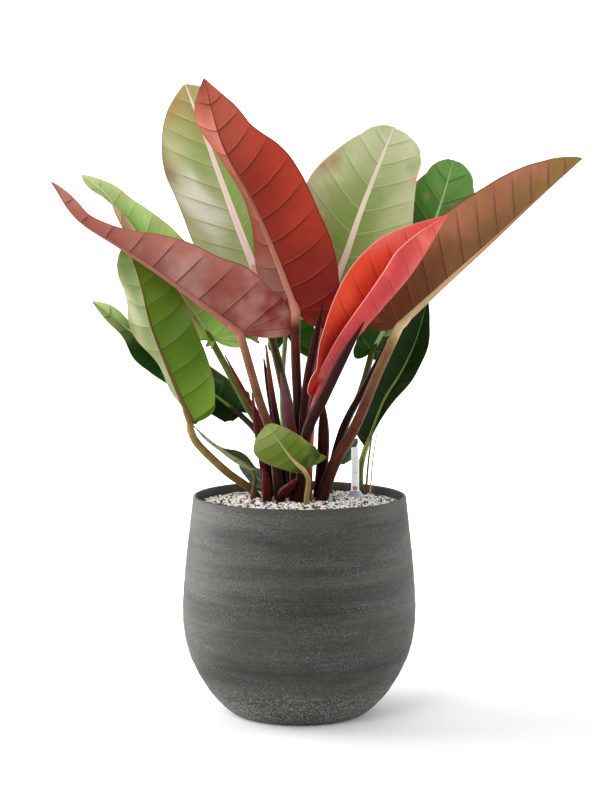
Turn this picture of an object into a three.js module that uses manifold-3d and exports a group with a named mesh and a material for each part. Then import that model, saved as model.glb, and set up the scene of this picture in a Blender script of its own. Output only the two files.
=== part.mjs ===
// A potted philodendron with orange-red young leaves. A round ceramic planter is filled with mineral
// granulate, in which the plant and its water gauge stand.
// Millimetres, +Z up. The origin is the centre of the planter's flat underside. The front is the -Y
// side, and +X is to the right when the plant is seen from the front.

import * as THREE from 'three';
import { mergeVertices } from 'three/addons/utils/BufferGeometryUtils.js';
import Module from 'manifold-3d';

const wasm = await Module();
wasm.setup();

// Driving dimensions of the planter and its filling
const POT = { height: 294, wall: 8, lipWall: 4.5, thinsFrom: 235, lipFlat: 1.2, floor: 12 };
const POT_OUTSIDE = [
  [81.5, 0],
  [94.5, 3.5],
  [118, 26.5],
  [138.2, 59],
  [151.1, 93],
  [156.2, 136],
  [152.7, 198],
  [146.3, 258],
  [142.6, 291],
];
const POT_SIDES = 40;
const OUTSIDE_STEPS = 11;
const INSIDE_STEPS = 8;
const FILL = { edge: 279.5, centre: 284.5, radius: 137.8 };
const GAP = 0.35;

// The root ball and the short stem stand a little behind the planter's middle.
const CROWN = { x: 0, y: 30, radius: 15, flare: 3, round: 6, top: 304, foot: 258 };
const ROOT_BALL = { topRadius: 62, footRadius: 46, height: 150, bevel: 9 };

// Driving dimensions of the water gauge
const GAUGE = { x: 76, y: 50, sides: 16 };
const TUBE = { radius: 5.3, wall: 1.1, foot: 256, top: 352, bevel: 1 };
const WELL = { radius: 9, wall: 1.5, foot: 25, top: 281.7, slotWidth: 3, slotFoot: 45, slotHeight: 90 };
const COLLAR = { radius: 15, foot: 283.4, edge: 1.4, slope: 3, crown: 2.5, top: 292 };
const FLOAT = { radius: 6.6, foot: 27.5, height: 52, rodRadius: 1.4, bevel: 2 };
const TIP = { radius: 3.4, length: 4.5, top: 298.5, bevel: 1 };

// Driving dimensions of the leaves
const MARGIN_HALF_THICKNESS = 0.7;
const RIB_HALF_THICKNESS = 2;
const LOBE = { spread: 66, grownAt: 0.7, close: 0.65 };
const VEIN_SWEEP = { base: 0.05, tip: 0.5, bow: 0.15 };
const STALK_SINK = 276;
const BLADE_GRID = { lines: 10, fanLines: 3, steps: 3, rolledSteps: 8 };
const SMALL_GRID = { lines: 6, fanLines: 2, steps: 2 };
const SMALL_LEAF = 110;

// Every leaf has a rib from its stalk to its tip, and two sides. A side's width is measured square to
// the rib at even steps from the base to the tip. Its turn, in degrees, is how far it leans away from
// the front, and its curl is how much further it turns by the margin. A lobe is how far the side
// reaches back past the stalk, and round says how blunt the tip is. sweep is how far the side veins lean
// towards the tip. The stalk's path runs from the granulate to the leaf.
const LEAVES = {
  centre: {
    colour: 0xa33a2c,
    rib: [[-5, 0, 540], [-33, 5, 614], [-66, 10, 691], [-103, 15, 763], [-127, 20, 849]],
    left: { width: [50, 60, 64, 64, 60, 54, 46, 34, 0], turn: [58, 63, 74, 82, 74, 40, 0], lobe: 40 },
    right: { width: [64, 75, 80, 79, 77, 70, 50, 32, 0], turn: [10, 14, 12, 8], lobe: 50 },
    round: 0,
    wave: { height: 3, count: 2.6 },
    stalk: {
      path: [[-4, 10], [-2, 9, 340], [-2, 6, 406], [-5, 2, 480], [-5, 0, 540]],
      radii: [7.5, 6.5, 6.5],
    },
  },
  back_left: {
    colour: 0x9aa868,
    rib: [[-60, 92, 589], [-84, 96, 651], [-108, 101, 716], [-132, 106, 783], [-157, 110, 845]],
    left: { width: [52, 62, 66, 66, 67, 69, 61, 42, 0], turn: [-8], lobe: 50 },
    right: { width: [55, 68, 72, 72, 70, 68, 60, 42, 0], turn: [-6], lobe: 45 },
    round: 0.2,
    wave: { height: 2.5, count: 2.2 },
    stalk: {
      path: [[-12, 38], [-13, 48, 388], [-24, 62, 445], [-38, 78, 500], [-60, 92, 589]],
      radii: [7, 7, 6, 5],
    },
  },
  left: {
    colour: 0xa9645a,
    rib: [
      [-79, -5, 511],
      [-131, -14, 550],
      [-184, -24, 590],
      [-237, -33, 626],
      [-291, -43, 663],
      [-323, -52, 711],
    ],
    left: { width: [50, 58, 60, 56, 48, 38, 28, 18, 0], turn: [98, 102, 104, 96], lobe: 40 },
    right: { width: [72, 78, 66, 57, 42, 24, 16, 15, 0], turn: [14, 12, 10, 10], lobe: 72 },
    round: 0.3,
    wave: { height: 3, count: 2.4 },
    stalk: { path: [[-26, 12], [-36, 9, 366], [-53.5, 4, 420], [-79, -5, 511]], radii: [7, 6.5, 6, 5.5] },
  },
  upper_left: {
    colour: 0x77a94a,
    rib: [
      [-122, 62, 501],
      [-154, 66, 548],
      [-197, 71, 601],
      [-239, 75, 649],
      [-261, 80, 692],
      [-296, 84, 721],
    ],
    left: {
      width: [22, 26, 28, 28, 27, 25, 22, 16, 0],
      turn: [-70, -80, -100, -116, -66, -30],
      lobe: 22,
    },
    right: { width: [56, 60, 57, 53, 50, 40, 24, 12, 0], turn: [-8], lobe: 50 },
    round: 0.3,
    wave: { height: 4, count: 2.6 },
    stalk: { path: [[-37, 44], [-50, 50, 366], [-75, 55, 415], [-122, 62, 501]], radii: [6, 5.5, 5, 4.5] },
  },
  low_left: {
    colour: 0x668c2e,
    rib: [[-146, -8, 394], [-173, 0, 456], [-198, 9, 519], [-212, 18, 573], [-231, 26, 633]],
    left: { width: [32, 48, 54, 56, 54, 50, 46, 36, 0], turn: [84, 78, 60, 54, 45, 20], lobe: 16 },
    right: { width: [36, 50, 55, 55, 54, 50, 37, 22, 0], turn: [8], lobe: 12 },
    round: 0.3,
    wave: { height: 4, count: 3 },
    stalk: {
      path: [[-52, 34], [-66, 30, 297], [-98, 20, 322], [-134, 4, 359], [-145, -4, 380], [-146, -8, 394]],
      radii: [6, 5.5, 5.5, 5, 5],
    },
  },
  dark_left: {
    colour: 0x2f5a35,
    rib: [[-88, 100, 397], [-138, 105, 434], [-187, 110, 471], [-237, 115, 509], [-287, 120, 547]],
    left: { width: [23, 29, 31, 30, 33, 33, 15, 10, 0], turn: [-35], lobe: 14 },
    right: { width: [40, 40, 35, 32, 28, 21, 12, 17, 0], turn: [-35], lobe: 30 },
    round: 0.3,
    wave: { height: 3, count: 2.4 },
    stalk: { path: [[-30, 68], [-42, 76, 335], [-60, 88, 370], [-88, 100, 397]], radii: [5, 4.5, 4] },
  },
  back_right: {
    colour: 0x9fb06e,
    rib: [[37, 128, 542], [63, 132, 607], [85, 136, 671], [110, 141, 735], [131, 145, 788]],
    left: { width: [55, 70, 78, 82, 85, 80, 63, 38, 0], turn: [-8], lobe: 54 },
    right: { width: [55, 70, 80, 82, 76, 67, 57, 49, 0], turn: [-8], lobe: 45 },
    round: 0.55,
    sweep: { base: 0.3, tip: 0.6, bow: 0.2 },
    wave: { height: 2.5, count: 2 },
    stalk: { path: [[10, 54], [14, 66, 370], [24, 91, 455], [37, 128, 542]], radii: [7, 6, 5] },
  },
  young: {
    colour: 0xd2453a,
    rib: [[32, -30, 453], [67, -32, 500], [110, -35, 552], [152, -38, 604], [195, -40, 669]],
    left: {
      width: [22, 41, 50, 60, 67, 66, 59, 38, 0],
      turn: [-52, -28, -16, -10, -6],
      lobe: 31,
      spread: 120,
    },
    right: {
      width: [20, 30, 38, 44, 50, 57, 66, 46, 0],
      turn: [-60],
      curl: [-140],
      lobe: 14,
      rolled: true,
    },
    round: 0,
    wave: { height: 0.4, count: 1.5 },
    stalk: { path: [[10, -7], [12, -14, 340], [16, -22, 400], [32, -30, 453]], radii: [6, 5, 4.5] },
  },
  right: {
    colour: 0x8a5a3a,
    rib: [[133, 5, 519], [193, 2, 575], [254, 0, 631], [314, -4, 688], [373, -10, 742]],
    left: { width: [52, 64, 70, 73, 69, 61, 51, 32, 0], turn: [12], lobe: 46 },
    right: { width: [40, 50, 54, 54, 50, 44, 34, 20, 0], turn: [98], lobe: 40 },
    round: 0.3,
    wave: { height: 2.5, count: 3 },
    stalk: {
      path: [[26, -3], [45, 0, 332], [75, 5, 386], [104, 6, 455], [133, 5, 519]],
      radii: [8.5, 7.8, 6.6, 6],
    },
  },
  upper_right: {
    colour: 0x4c7d3c,
    rib: [[102, 150, 475], [139, 155, 544], [173, 160, 615], [198, 165, 682], [216, 170, 743]],
    left: { width: [24, 36, 50, 58, 60, 56, 50, 32, 0], turn: [-8], lobe: 30 },
    right: { width: [14, 19, 27, 37, 47, 52, 48, 36, 0], turn: [-8], lobe: 14 },
    round: 0.7,
    wave: { height: 3, count: 2 },
    stalk: { path: [[32, 48], [60, 78, 371], [84, 110, 420], [102, 150, 475]], radii: [6, 5, 4.5] },
  },
  dark_right: {
    colour: 0x27481f,
    rib: [[94, 88, 354], [116, 93, 411], [141, 98, 452], [161, 103, 495], [177, 108, 550]],
    left: { width: [19, 27, 33, 38, 40, 40, 36, 24, 0], turn: [-20], lobe: 10 },
    right: { width: [3, 7, 13, 18, 21, 22, 20, 12, 0], turn: [-30], lobe: 3 },
    round: 0.3,
    wave: { height: 2, count: 2 },
    stalk: { path: [[85, 88], [84, 88, 310], [87, 88, 332], [94, 88, 354]], radii: [4.5, 4] },
  },
  back_centre: {
    colour: 0x24491d,
    rib: [[-19, 134, 501], [-26, 153, 563], [-34, 169, 624], [-44, 182, 679], [-53, 192, 730]],
    left: { width: [20, 34, 46, 52, 54, 50, 42, 28, 0], turn: [-6], lobe: 34 },
    right: { width: [38, 46, 54, 58, 56, 50, 42, 28, 0], turn: [-6], lobe: 54 },
    round: 0.4,
    wave: { height: 3, count: 2 },
    stalk: { path: [[-8, 64], [-20, 80, 360], [-24, 104, 430], [-19, 134, 501]], radii: [5.5, 4, 3.4] },
  },
  front: {
    colour: 0x7d8f3c,
    rib: [[6, -47, 333], [-7, -48, 345], [-19, -48, 360], [-31, -47, 377], [-43, -45, 393]],
    left: { width: [6, 12, 17, 24, 31, 36, 36, 28, 0], turn: [6], lobe: 4 },
    right: { width: [30, 33, 32, 30, 28, 24, 19, 12, 0], turn: [8], lobe: 34, spread: 26 },
    round: 0.6,
    sweep: { base: -0.1, tip: 0.1, bow: 0.1 },
    wave: { height: 1.5, count: 1.4 },
    stalk: { path: [[9, -36], [10, -38, 300], [12, -43, 318], [6, -47, 333]], radii: [4, 3.2, 3] },
  },
  rim_left: {
    colour: 0x3c5f34,
    rib: [[-65, 12, 329], [-88, 12, 343], [-106, 12, 355], [-125, 12, 369], [-141, 12, 384]],
    left: { width: [7, 13, 15, 14, 12, 10, 7, 4, 0], turn: [-75], lobe: 8 },
    right: { width: [9, 19, 18, 10, 4, 3, 2.5, 2, 0], turn: [66], lobe: 10 },
    round: 0,
    wave: { height: 1, count: 1 },
    stalk: { path: [[-66, 14], [-62, 13, 297], [-60, 12, 314], [-65, 12, 329]], radii: [3, 2.4] },
  },
  rim_back: {
    colour: 0x66806a,
    rib: [[-46, 90, 294], [-55, 90, 302], [-64, 89, 309], [-74, 88, 316], [-84, 87, 322]],
    left: { width: [6, 10, 12, 12, 11, 9, 7, 4, 0], turn: [-20], lobe: 4 },
    right: { width: [8, 14, 16, 15, 13, 10, 7, 4, 0], turn: [-20], lobe: 5 },
    round: 0.2,
    wave: { height: 1, count: 1 },
    stalk: { path: [[-40, 92], [-42, 91, 287], [-46, 90, 294]], radii: [2.2, 1.8] },
  },
  beside_gauge: {
    colour: 0x55704a,
    rib: [[56, 80, 329], [61, 80, 337], [67, 79, 345], [73, 78, 353], [80, 77, 361]],
    left: { width: [4, 5, 6, 7, 7, 6, 5, 4, 0], turn: [-10], lobe: 3 },
    right: { width: [7, 10, 12, 12, 11, 9, 7, 5, 0], turn: [-10], lobe: 5 },
    round: 0.3,
    wave: { height: 0.8, count: 1 },
    stalk: { path: [[44, 72], [44, 73, 296], [48, 76, 313], [56, 80, 329]], radii: [2.4, 2, 1.8] },
  },
};

// Sheaths and spears: the leaf wraps and the leaves still rolled up, between the stalks. A path starts
// in the granulate, and the thickness is a share of the width.
const SHEATHS = {
  tall_front: {
    path: [[9, 4], [5, -2, 367], [9, -3, 434], [20, -8, 495], [31, -13, 549]],
    radii: [6, 5.5, 5.8, 5.5, 1],
  },
  tall_right: {
    path: [[-2, -20], [9, -34, 376], [32, -50, 430], [58, -66, 484], [83.5, -78, 530]],
    radii: [6.5, 7, 7.5, 6, 1],
  },
  short_left: {
    path: [[-18, 26], [-27, 25, 366], [-37, 22, 430], [-45, 20, 494]],
    radii: [5.5, 5, 4, 1.2],
  },
  short_left_inner: {
    path: [[-24, 36], [-34, 37, 380], [-43, 37, 440], [-48, 36, 474]],
    radii: [4, 4, 3, 1],
  },
  violet: {
    path: [[-8, -9], [-7, -8, 350], [-14, -6, 400], [-25, -2, 458]],
    radii: [5.5, 7, 7, 1],
  },
  thin_red: {
    path: [[-40, 28], [-50, 31, 378], [-72, 38, 424], [-101, 46, 478]],
    radii: [3.6, 3.4, 3, 0.8],
  },
  outer_left: {
    path: [[-41, 4], [-50, 0, 345], [-57, -4, 387], [-63, -7, 432]],
    radii: [5, 5, 4, 0.9],
  },
  spindle: {
    path: [[24, 28], [32, 32, 340], [33, 34, 383], [32, 35, 417]],
    radii: [6, 8, 7, 1.4],
  },
  beside_stalk: {
    path: [[32, 18], [57, 24, 375], [90, 27, 440], [118, 28, 501]],
    radii: [5, 5, 4, 0.9],
  },
  low_front: {
    path: [[-28, -12], [-22, -20, 298], [-12, -29, 309], [-2, -36, 320]],
    radii: [5, 6.5, 5.5, 1.5],
  },
  low_left: {
    path: [[-43, -9], [-43, -13, 302], [-45, -15, 318], [-48, -16, 332]],
    radii: [6, 6.5, 5, 1.5],
  },
};
const SHEATH_THICKNESS = 0.7;
const SHEATH_COLOUR = 0x4b1d20;

const AERIAL_ROOTS = {
  brown: { path: [[91, 78], [95, 77, 330], [101, 75, 376]], radii: [1.6, 1.3, 0.9] },
  pale: { path: [[97, 81], [101, 80, 330], [107, 78, 371]], radii: [1, 0.9, 0.7] },
};

const FRONT = new THREE.Vector3(0, -1, 0);

// A value at t, from 0 to 1, on the smooth curve through evenly spaced values
function smooth(values, t) {
  const last = values.length - 1;
  if (last === 0) {
    return values[0];
  }
  const at = Math.min(Math.max(t, 0), 1) * last;
  const i = Math.min(Math.floor(at), last - 1);
  const u = at - i;
  const before = i > 0 ? values[i - 1] : 2 * values[0] - values[1];
  const after = i + 2 <= last ? values[i + 2] : 2 * values[last] - values[last - 1];
  const slopeIn = (values[i + 1] - before) / 2;
  const slopeOut = (after - values[i]) / 2;
  const rise = values[i + 1] - values[i];
  const square = 3 * rise - 2 * slopeIn - slopeOut;
  const cube = slopeIn + slopeOut - 2 * rise;
  return values[i] + u * (slopeIn + u * (square + u * cube));
}

function curveThrough(path) {
  const points = path.map(([x, y, z = STALK_SINK]) => new THREE.Vector3(x, y, z));
  return new THREE.CatmullRomCurve3(points, false, 'catmullrom', 0.5);
}

// The place and directions at t on a curve: along it, across it to the right, and out to the front
function frameAt(curve, t) {
  const along = curve.getTangent(t);
  const across = new THREE.Vector3().crossVectors(along, FRONT).normalize();
  const out = new THREE.Vector3().crossVectors(across, along);
  return { place: curve.getPoint(t), along, across, out };
}

function meshGeometry(positions, triangles) {
  const geometry = new THREE.BufferGeometry();
  geometry.setAttribute('position', new THREE.Float32BufferAttribute(positions, 3));
  geometry.setIndex(triangles);
  return geometry;
}

// A closed stem along a path, with a smooth run of radii from its foot to its tip
function stem({ path, radii }, { sides = 8, steps = 2, thickness = 1, grow = 0 } = {}) {
  const curve = curveThrough(path);
  const rings = (path.length - 1) * steps;
  const positions = [];
  const triangles = [];
  const addPoint = (point) => positions.push(point.x, point.y, point.z);
  for (let ring = 0; ring <= rings; ring += 1) {
    const t = ring / rings;
    const { place, along, across, out } = frameAt(curve, t);
    const radius = smooth(radii, t) + grow;
    const end = ring === 0 ? -grow : ring === rings ? grow : 0;
    for (let side = 0; side < sides; side += 1) {
      const angle = (2 * Math.PI * side) / sides;
      addPoint(place.clone()
        .addScaledVector(along, end)
        .addScaledVector(across, radius * Math.cos(angle))
        .addScaledVector(out, radius * thickness * Math.sin(angle)));
    }
  }
  const foot = frameAt(curve, 0);
  const tip = frameAt(curve, 1);
  addPoint(foot.place.addScaledVector(foot.along, -grow));
  addPoint(tip.place.addScaledVector(tip.along, grow));
  const footPoint = (rings + 1) * sides;
  const tipPoint = footPoint + 1;
  for (let side = 0; side < sides; side += 1) {
    const next = (side + 1) % sides;
    for (let ring = 0; ring < rings; ring += 1) {
      const low = ring * sides;
      const high = low + sides;
      triangles.push(low + side, high + next, low + next, low + side, high + side, high + next);
    }
    const top = rings * sides;
    triangles.push(footPoint, side, next, tipPoint, top + next, top + side);
  }
  return meshGeometry(positions, triangles);
}

// One side of a leaf: its surface point and outward direction at a line and at v, from 0 on the rib to
// 1 on the margin. Lines from 0 to 1 leave the rib on the way to the tip, and lines from -1 to 0 fan
// out from the stalk into the lobe.
function leafSide(rib, side, sign, { round, wave, sweep }) {
  const curl = side.curl ?? [0];
  const length = rib.getLength();
  const lastStep = 1 / (side.width.length - 1);
  const lastWidth = side.width.at(-2);
  const veins = sweep ?? VEIN_SWEEP;

  function sweepAt(t) {
    return veins.base + (veins.tip - veins.base) * t;
  }

  function profile(t) {
    const end = Math.min(Math.max((t - 1) / lastStep + 1, 0), 1);
    return smooth(side.width, t) + round * lastWidth * (Math.sqrt(1 - end * end) - (1 - end));
  }

  // The veins lean forward, so a line meets the margin where the profile is further along.
  function widthAt(t) {
    let width = profile(t);
    for (let pass = 0; pass < 6; pass += 1) {
      width = (width + profile(t + ((sweepAt(t) + veins.bow) * width) / length)) / 2;
    }
    return width;
  }

  return (line, v) => {
    const t = Math.max(line, 0);
    const fan = Math.max(-line, 0);
    const { place, along, across, out } = frameAt(rib, t);
    const start = THREE.MathUtils.degToRad(smooth(side.turn, t));
    const bend = THREE.MathUtils.degToRad(smooth(curl, t));
    const end = start + bend * v;
    const straight = Math.abs(bend) < 1e-6;
    const sideways = straight ? v * Math.cos(start) : (Math.sin(end) - Math.sin(start)) / bend;
    const backward = straight ? v * Math.sin(start) : (Math.cos(start) - Math.cos(end)) / bend;
    const width = widthAt(t);
    let reach = width;
    let forward = width * (sweepAt(t) * v + veins.bow * v * v) * (1 - fan);
    if (fan > 0) {
      const grown = THREE.MathUtils.smoothstep(fan, 0, LOBE.grownAt);
      const closing = Math.max(fan - LOBE.grownAt, 0) / (1 - LOBE.grownAt);
      const ray = (width + (side.lobe - width) * grown) * (1 - LOBE.close * closing * closing);
      const angle = THREE.MathUtils.degToRad((side.spread ?? LOBE.spread) * fan);
      reach = ray * Math.cos(angle);
      forward -= ray * v * Math.sin(angle);
    }
    const outward = out.clone().multiplyScalar(Math.cos(end)).addScaledVector(across, sign * Math.sin(end));
    const ripple = wave.height * v * v * Math.sin(2 * Math.PI * wave.count * line + sign) * (1 - t * t);
    const point = place
      .addScaledVector(across, sign * reach * sideways)
      .addScaledVector(out, -reach * backward)
      .addScaledVector(along, forward)
      .addScaledVector(outward, ripple);
    return { point, outward };
  };
}

// A closed leaf: a front and a back skin over both sides, joined along the margin
function leafBlade(leaf) {
  const rib = curveThrough(leaf.rib);
  const grid = rib.getLength() < SMALL_LEAF ? SMALL_GRID : BLADE_GRID;
  const rightSteps = leaf.right.rolled ? grid.rolledSteps : grid.steps;
  const sides = [
    { sign: -1, steps: grid.steps, at: leafSide(rib, leaf.left, -1, leaf) },
    { sign: 1, steps: rightSteps, at: leafSide(rib, leaf.right, 1, leaf) },
  ];
  const positions = [];
  const triangles = [];
  const known = new Map();

  function vertex(half, line, step, skin) {
    const v = step / half.steps;
    const atTip = line === grid.lines;
    const onRib = step === 0 || atTip;
    const name = [onRib ? 'rib' : half.sign, onRib ? Math.max(line, 0) : line, atTip ? 0 : step, skin].join();
    if (!known.has(name)) {
      const t = line < 0 ? line / grid.fanLines : line / grid.lines;
      const place = half.at(atTip ? 1 : t, atTip ? 0 : v);
      if (onRib) {
        const other = sides.find((one) => one !== half).at(Math.max(t, 0), 0);
        place.outward.add(other.outward).normalize();
      }
      const thin = MARGIN_HALF_THICKNESS;
      const thick = atTip ? thin : thin + (RIB_HALF_THICKNESS - thin) * (1 - v) ** 3;
      place.point.addScaledVector(place.outward, skin * thick);
      known.set(name, positions.length / 3);
      positions.push(place.point.x, place.point.y, place.point.z);
    }
    return known.get(name);
  }

  function face(corners, flip) {
    const loop = corners.filter((corner, i) => corner !== corners[(i + 1) % corners.length]);
    if (flip) {
      loop.reverse();
    }
    for (let i = 2; i < loop.length; i += 1) {
      triangles.push(loop[0], loop[i - 1], loop[i]);
    }
  }

  for (const half of sides) {
    const left = half.sign < 0;
    for (let line = -grid.fanLines; line < grid.lines; line += 1) {
      for (let step = 0; step < half.steps; step += 1) {
        for (const skin of [1, -1]) {
          const corners = [
            vertex(half, line, step, skin),
            vertex(half, line, step + 1, skin),
            vertex(half, line + 1, step + 1, skin),
            vertex(half, line + 1, step, skin),
          ];
          face(corners, left !== skin < 0);
        }
      }
      const margin = [[line + 1, 1], [line, 1], [line, -1], [line + 1, -1]];
      face(margin.map(([at, skin]) => vertex(half, at, half.steps, skin)), left);
    }
    for (let step = 0; step < half.steps; step += 1) {
      const notch = [[step + 1, 1], [step, 1], [step, -1], [step + 1, -1]];
      face(notch.map(([at, skin]) => vertex(half, -grid.fanLines, at, skin)), left);
    }
  }
  return meshGeometry(positions, triangles);
}

// A closed body turned round the Z axis from [radius, height] points
function turned(outline, sides) {
  const points = outline.map(([radius, height]) => new THREE.Vector2(radius, height));
  return new THREE.LatheGeometry(points, sides).rotateX(Math.PI / 2);
}

function toSolid(geometry) {
  const bare = geometry.clone();
  bare.deleteAttribute('normal');
  bare.deleteAttribute('uv');
  const merged = mergeVertices(bare, 1e-4);
  const index = [];
  for (let i = 0; i < merged.index.count; i += 3) {
    const corners = [0, 1, 2].map((k) => merged.index.getX(i + k));
    if (new Set(corners).size === 3) {
      index.push(...corners);
    }
  }
  return new wasm.Manifold(new wasm.Mesh({
    numProp: 3,
    vertProperties: new Float32Array(merged.attributes.position.array),
    triVerts: new Uint32Array(index),
  }));
}

function toGeometry(solid) {
  const { vertProperties, triVerts } = solid.getMesh();
  return meshGeometry(Array.from(vertProperties), Array.from(triVerts));
}

// The largest body that is left of a solid once the others are cut from it
function cut(solid, others) {
  const left = others.reduce((rest, other) => rest.subtract(other), solid);
  return left.decompose().sort((a, b) => b.volume() - a.volume())[0];
}

const potOutside = new THREE.SplineCurve(
  POT_OUTSIDE.map(([radius, height]) => new THREE.Vector2(radius, height)),
);

// The thickness of the planter's wall, which gets thinner towards the lip
function wallAt(height) {
  const thin = THREE.MathUtils.smoothstep(height, POT.thinsFrom, POT_OUTSIDE.at(-1)[1]);
  return POT.wall + (POT.lipWall - POT.wall) * thin;
}

// The planter's outer outline from the foot up to the lip, moved inward by a distance square to it
function potOutline(steps, inwardAt = () => 0) {
  const outline = [];
  for (let i = 0; i <= steps; i += 1) {
    const place = potOutside.getPoint(i / steps);
    const along = potOutside.getTangent(i / steps);
    const inward = inwardAt(place.y);
    outline.push([place.x - inward * along.y, place.y + inward * along.x]);
  }
  return outline;
}

// The planter's inner wall moved inward by a gap, from the edge of its floor up to the lip
function innerWall(gap = 0) {
  const floor = POT.floor + gap;
  const wall = potOutline(INSIDE_STEPS, (height) => wallAt(height) + gap);
  const first = wall.findIndex(([, height]) => height > floor);
  const below = wall[first - 1];
  const above = wall[first];
  const share = (floor - below[1]) / (above[1] - below[1]);
  return [[below[0] + (above[0] - below[0]) * share, floor], ...wall.slice(first)];
}

function pot() {
  const lipMiddle = POT_OUTSIDE.at(-1)[0] - POT.lipWall / 2;
  const outline = [
    [0, 0],
    ...potOutline(OUTSIDE_STEPS),
    [lipMiddle + POT.lipFlat, POT.height],
    [lipMiddle - POT.lipFlat, POT.height],
    ...innerWall().reverse(),
    [0, POT.floor],
  ];
  return turned(outline, POT_SIDES);
}

// The granulate follows the planter's inner wall, and its top rises a little towards the middle.
function granulate(plugs) {
  const wall = innerWall(GAP).filter(([, height]) => height < FILL.edge);
  const heap = [1, 0.7, 0.35].map((share) => [
    FILL.radius * share,
    FILL.edge + (FILL.centre - FILL.edge) * (1 - share * share),
  ]);
  const outline = [[0, POT.floor + GAP], ...wall, ...heap, [0, FILL.centre]];
  return cut(toSolid(turned(outline, POT_SIDES)), plugs);
}

function rootBall(grow = 0) {
  const { topRadius, footRadius, height, bevel } = ROOT_BALL;
  const top = CROWN.foot - GAP;
  const foot = top - height;
  const ball = turned([
    [0, foot - grow],
    [footRadius - bevel + grow, foot - grow],
    [footRadius + grow, foot + bevel],
    [topRadius + grow, top - bevel],
    [topRadius - bevel + grow, top + grow],
    [0, top + grow],
  ], 20);
  return ball.translate(CROWN.x, CROWN.y, 0);
}

function crownStem(grow = 0) {
  const { radius, flare, round, foot, top } = CROWN;
  const stump = turned([
    [0, foot - grow],
    [radius + flare + grow, foot - grow],
    [radius + grow, foot + 2 * round],
    [radius - 1 + grow, top - 2 * round],
    [radius - round + grow, top + grow],
    [0, top + grow],
  ], 12);
  return stump.translate(CROWN.x, CROWN.y, 0);
}

function atGauge(outline) {
  return turned(outline, GAUGE.sides).translate(GAUGE.x, GAUGE.y, 0);
}

function gaugeWell() {
  const { radius, wall, foot, top, slotWidth, slotFoot, slotHeight } = WELL;
  const well = toSolid(atGauge([
    [0, foot],
    [radius, foot],
    [radius, top],
    [radius - wall, top],
    [radius - wall, foot + wall],
    [0, foot + wall],
  ]));
  const slots = [Math.PI / 4, 3 * Math.PI / 4].map((angle) => {
    const slot = new THREE.BoxGeometry(4 * radius, slotWidth, slotHeight).rotateZ(angle);
    return toSolid(slot.translate(GAUGE.x, GAUGE.y, slotFoot + slotHeight / 2));
  });
  return cut(well, slots);
}

function gaugeCollar() {
  const hole = TUBE.radius + GAP;
  return atGauge([
    [hole, COLLAR.foot],
    [COLLAR.radius, COLLAR.foot],
    [COLLAR.radius, COLLAR.foot + COLLAR.edge],
    [COLLAR.radius - COLLAR.slope, COLLAR.top - COLLAR.slope],
    [hole + COLLAR.crown, COLLAR.top],
    [hole, COLLAR.top],
    [hole, COLLAR.foot],
  ]);
}

// The room that the well and the collar take up in the granulate
function gaugeRoom() {
  return toSolid(atGauge([
    [0, WELL.foot - GAP],
    [WELL.radius + GAP, WELL.foot - GAP],
    [WELL.radius + GAP, COLLAR.foot - GAP],
    [COLLAR.radius + GAP, COLLAR.foot - GAP],
    [COLLAR.radius + GAP, COLLAR.top],
    [0, COLLAR.top],
  ]));
}

function gaugeTube() {
  const { radius, wall, foot, top, bevel } = TUBE;
  return atGauge([
    [radius - wall, foot],
    [radius, foot],
    [radius, top - bevel],
    [radius - bevel, top],
    [0, top],
    [0, top - wall],
    [radius - wall, top - wall],
    [radius - wall, foot],
  ]);
}

function gaugeFloat() {
  const { radius, foot, height, rodRadius, bevel } = FLOAT;
  return atGauge([
    [0, foot],
    [radius - bevel, foot],
    [radius, foot + bevel],
    [radius, foot + height - radius],
    [rodRadius, foot + height],
    [rodRadius, TIP.top - TIP.length - TIP.bevel],
    [TIP.radius, TIP.top - TIP.length],
    [TIP.radius, TIP.top - TIP.bevel],
    [TIP.radius - TIP.bevel, TIP.top],
    [0, TIP.top],
  ]);
}

const plant = new THREE.Group();

function add(name, geometry, colour, { roughness = 0.6, opacity = 1 } = {}) {
  const material = new THREE.MeshStandardMaterial({
    color: colour,
    roughness,
    metalness: 0,
    opacity,
    transparent: opacity < 1,
  });
  const mesh = new THREE.Mesh(geometry, material);
  mesh.name = name;
  plant.add(mesh);
}

const sheathShape = { thickness: SHEATH_THICKNESS };
const rootShape = { sides: 6 };
const stemRooms = [
  ...Object.values(LEAVES).map((leaf) => stem(leaf.stalk, { grow: GAP })),
  ...Object.values(SHEATHS).map((sheath) => stem(sheath, { ...sheathShape, grow: GAP })),
  ...Object.values(AERIAL_ROOTS).map((root) => stem(root, { ...rootShape, grow: GAP })),
].map(toSolid);
const fillRooms = [toSolid(rootBall(GAP)), toSolid(crownStem(GAP)), gaugeRoom(), ...stemRooms];

add('pot', pot(), 0x555652, { roughness: 0.85 });
add('granulate', toGeometry(granulate(fillRooms)), 0xcfc4b8, { roughness: 0.95 });
add('root_ball', rootBall(), 0x4a382b, { roughness: 1 });
add('crown_stem', toGeometry(cut(toSolid(crownStem()), stemRooms)), 0x5a3a2a, { roughness: 0.9 });
add('gauge_well', toGeometry(gaugeWell()), 0xd8d8d6, { roughness: 0.4 });
add('gauge_collar', gaugeCollar(), 0xc9c6d6, { roughness: 0.3 });
add('gauge_tube', gaugeTube(), 0xe6e8ec, { roughness: 0.1, opacity: 0.5 });
add('gauge_float', gaugeFloat(), 0xd8431f, { roughness: 0.4 });

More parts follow.
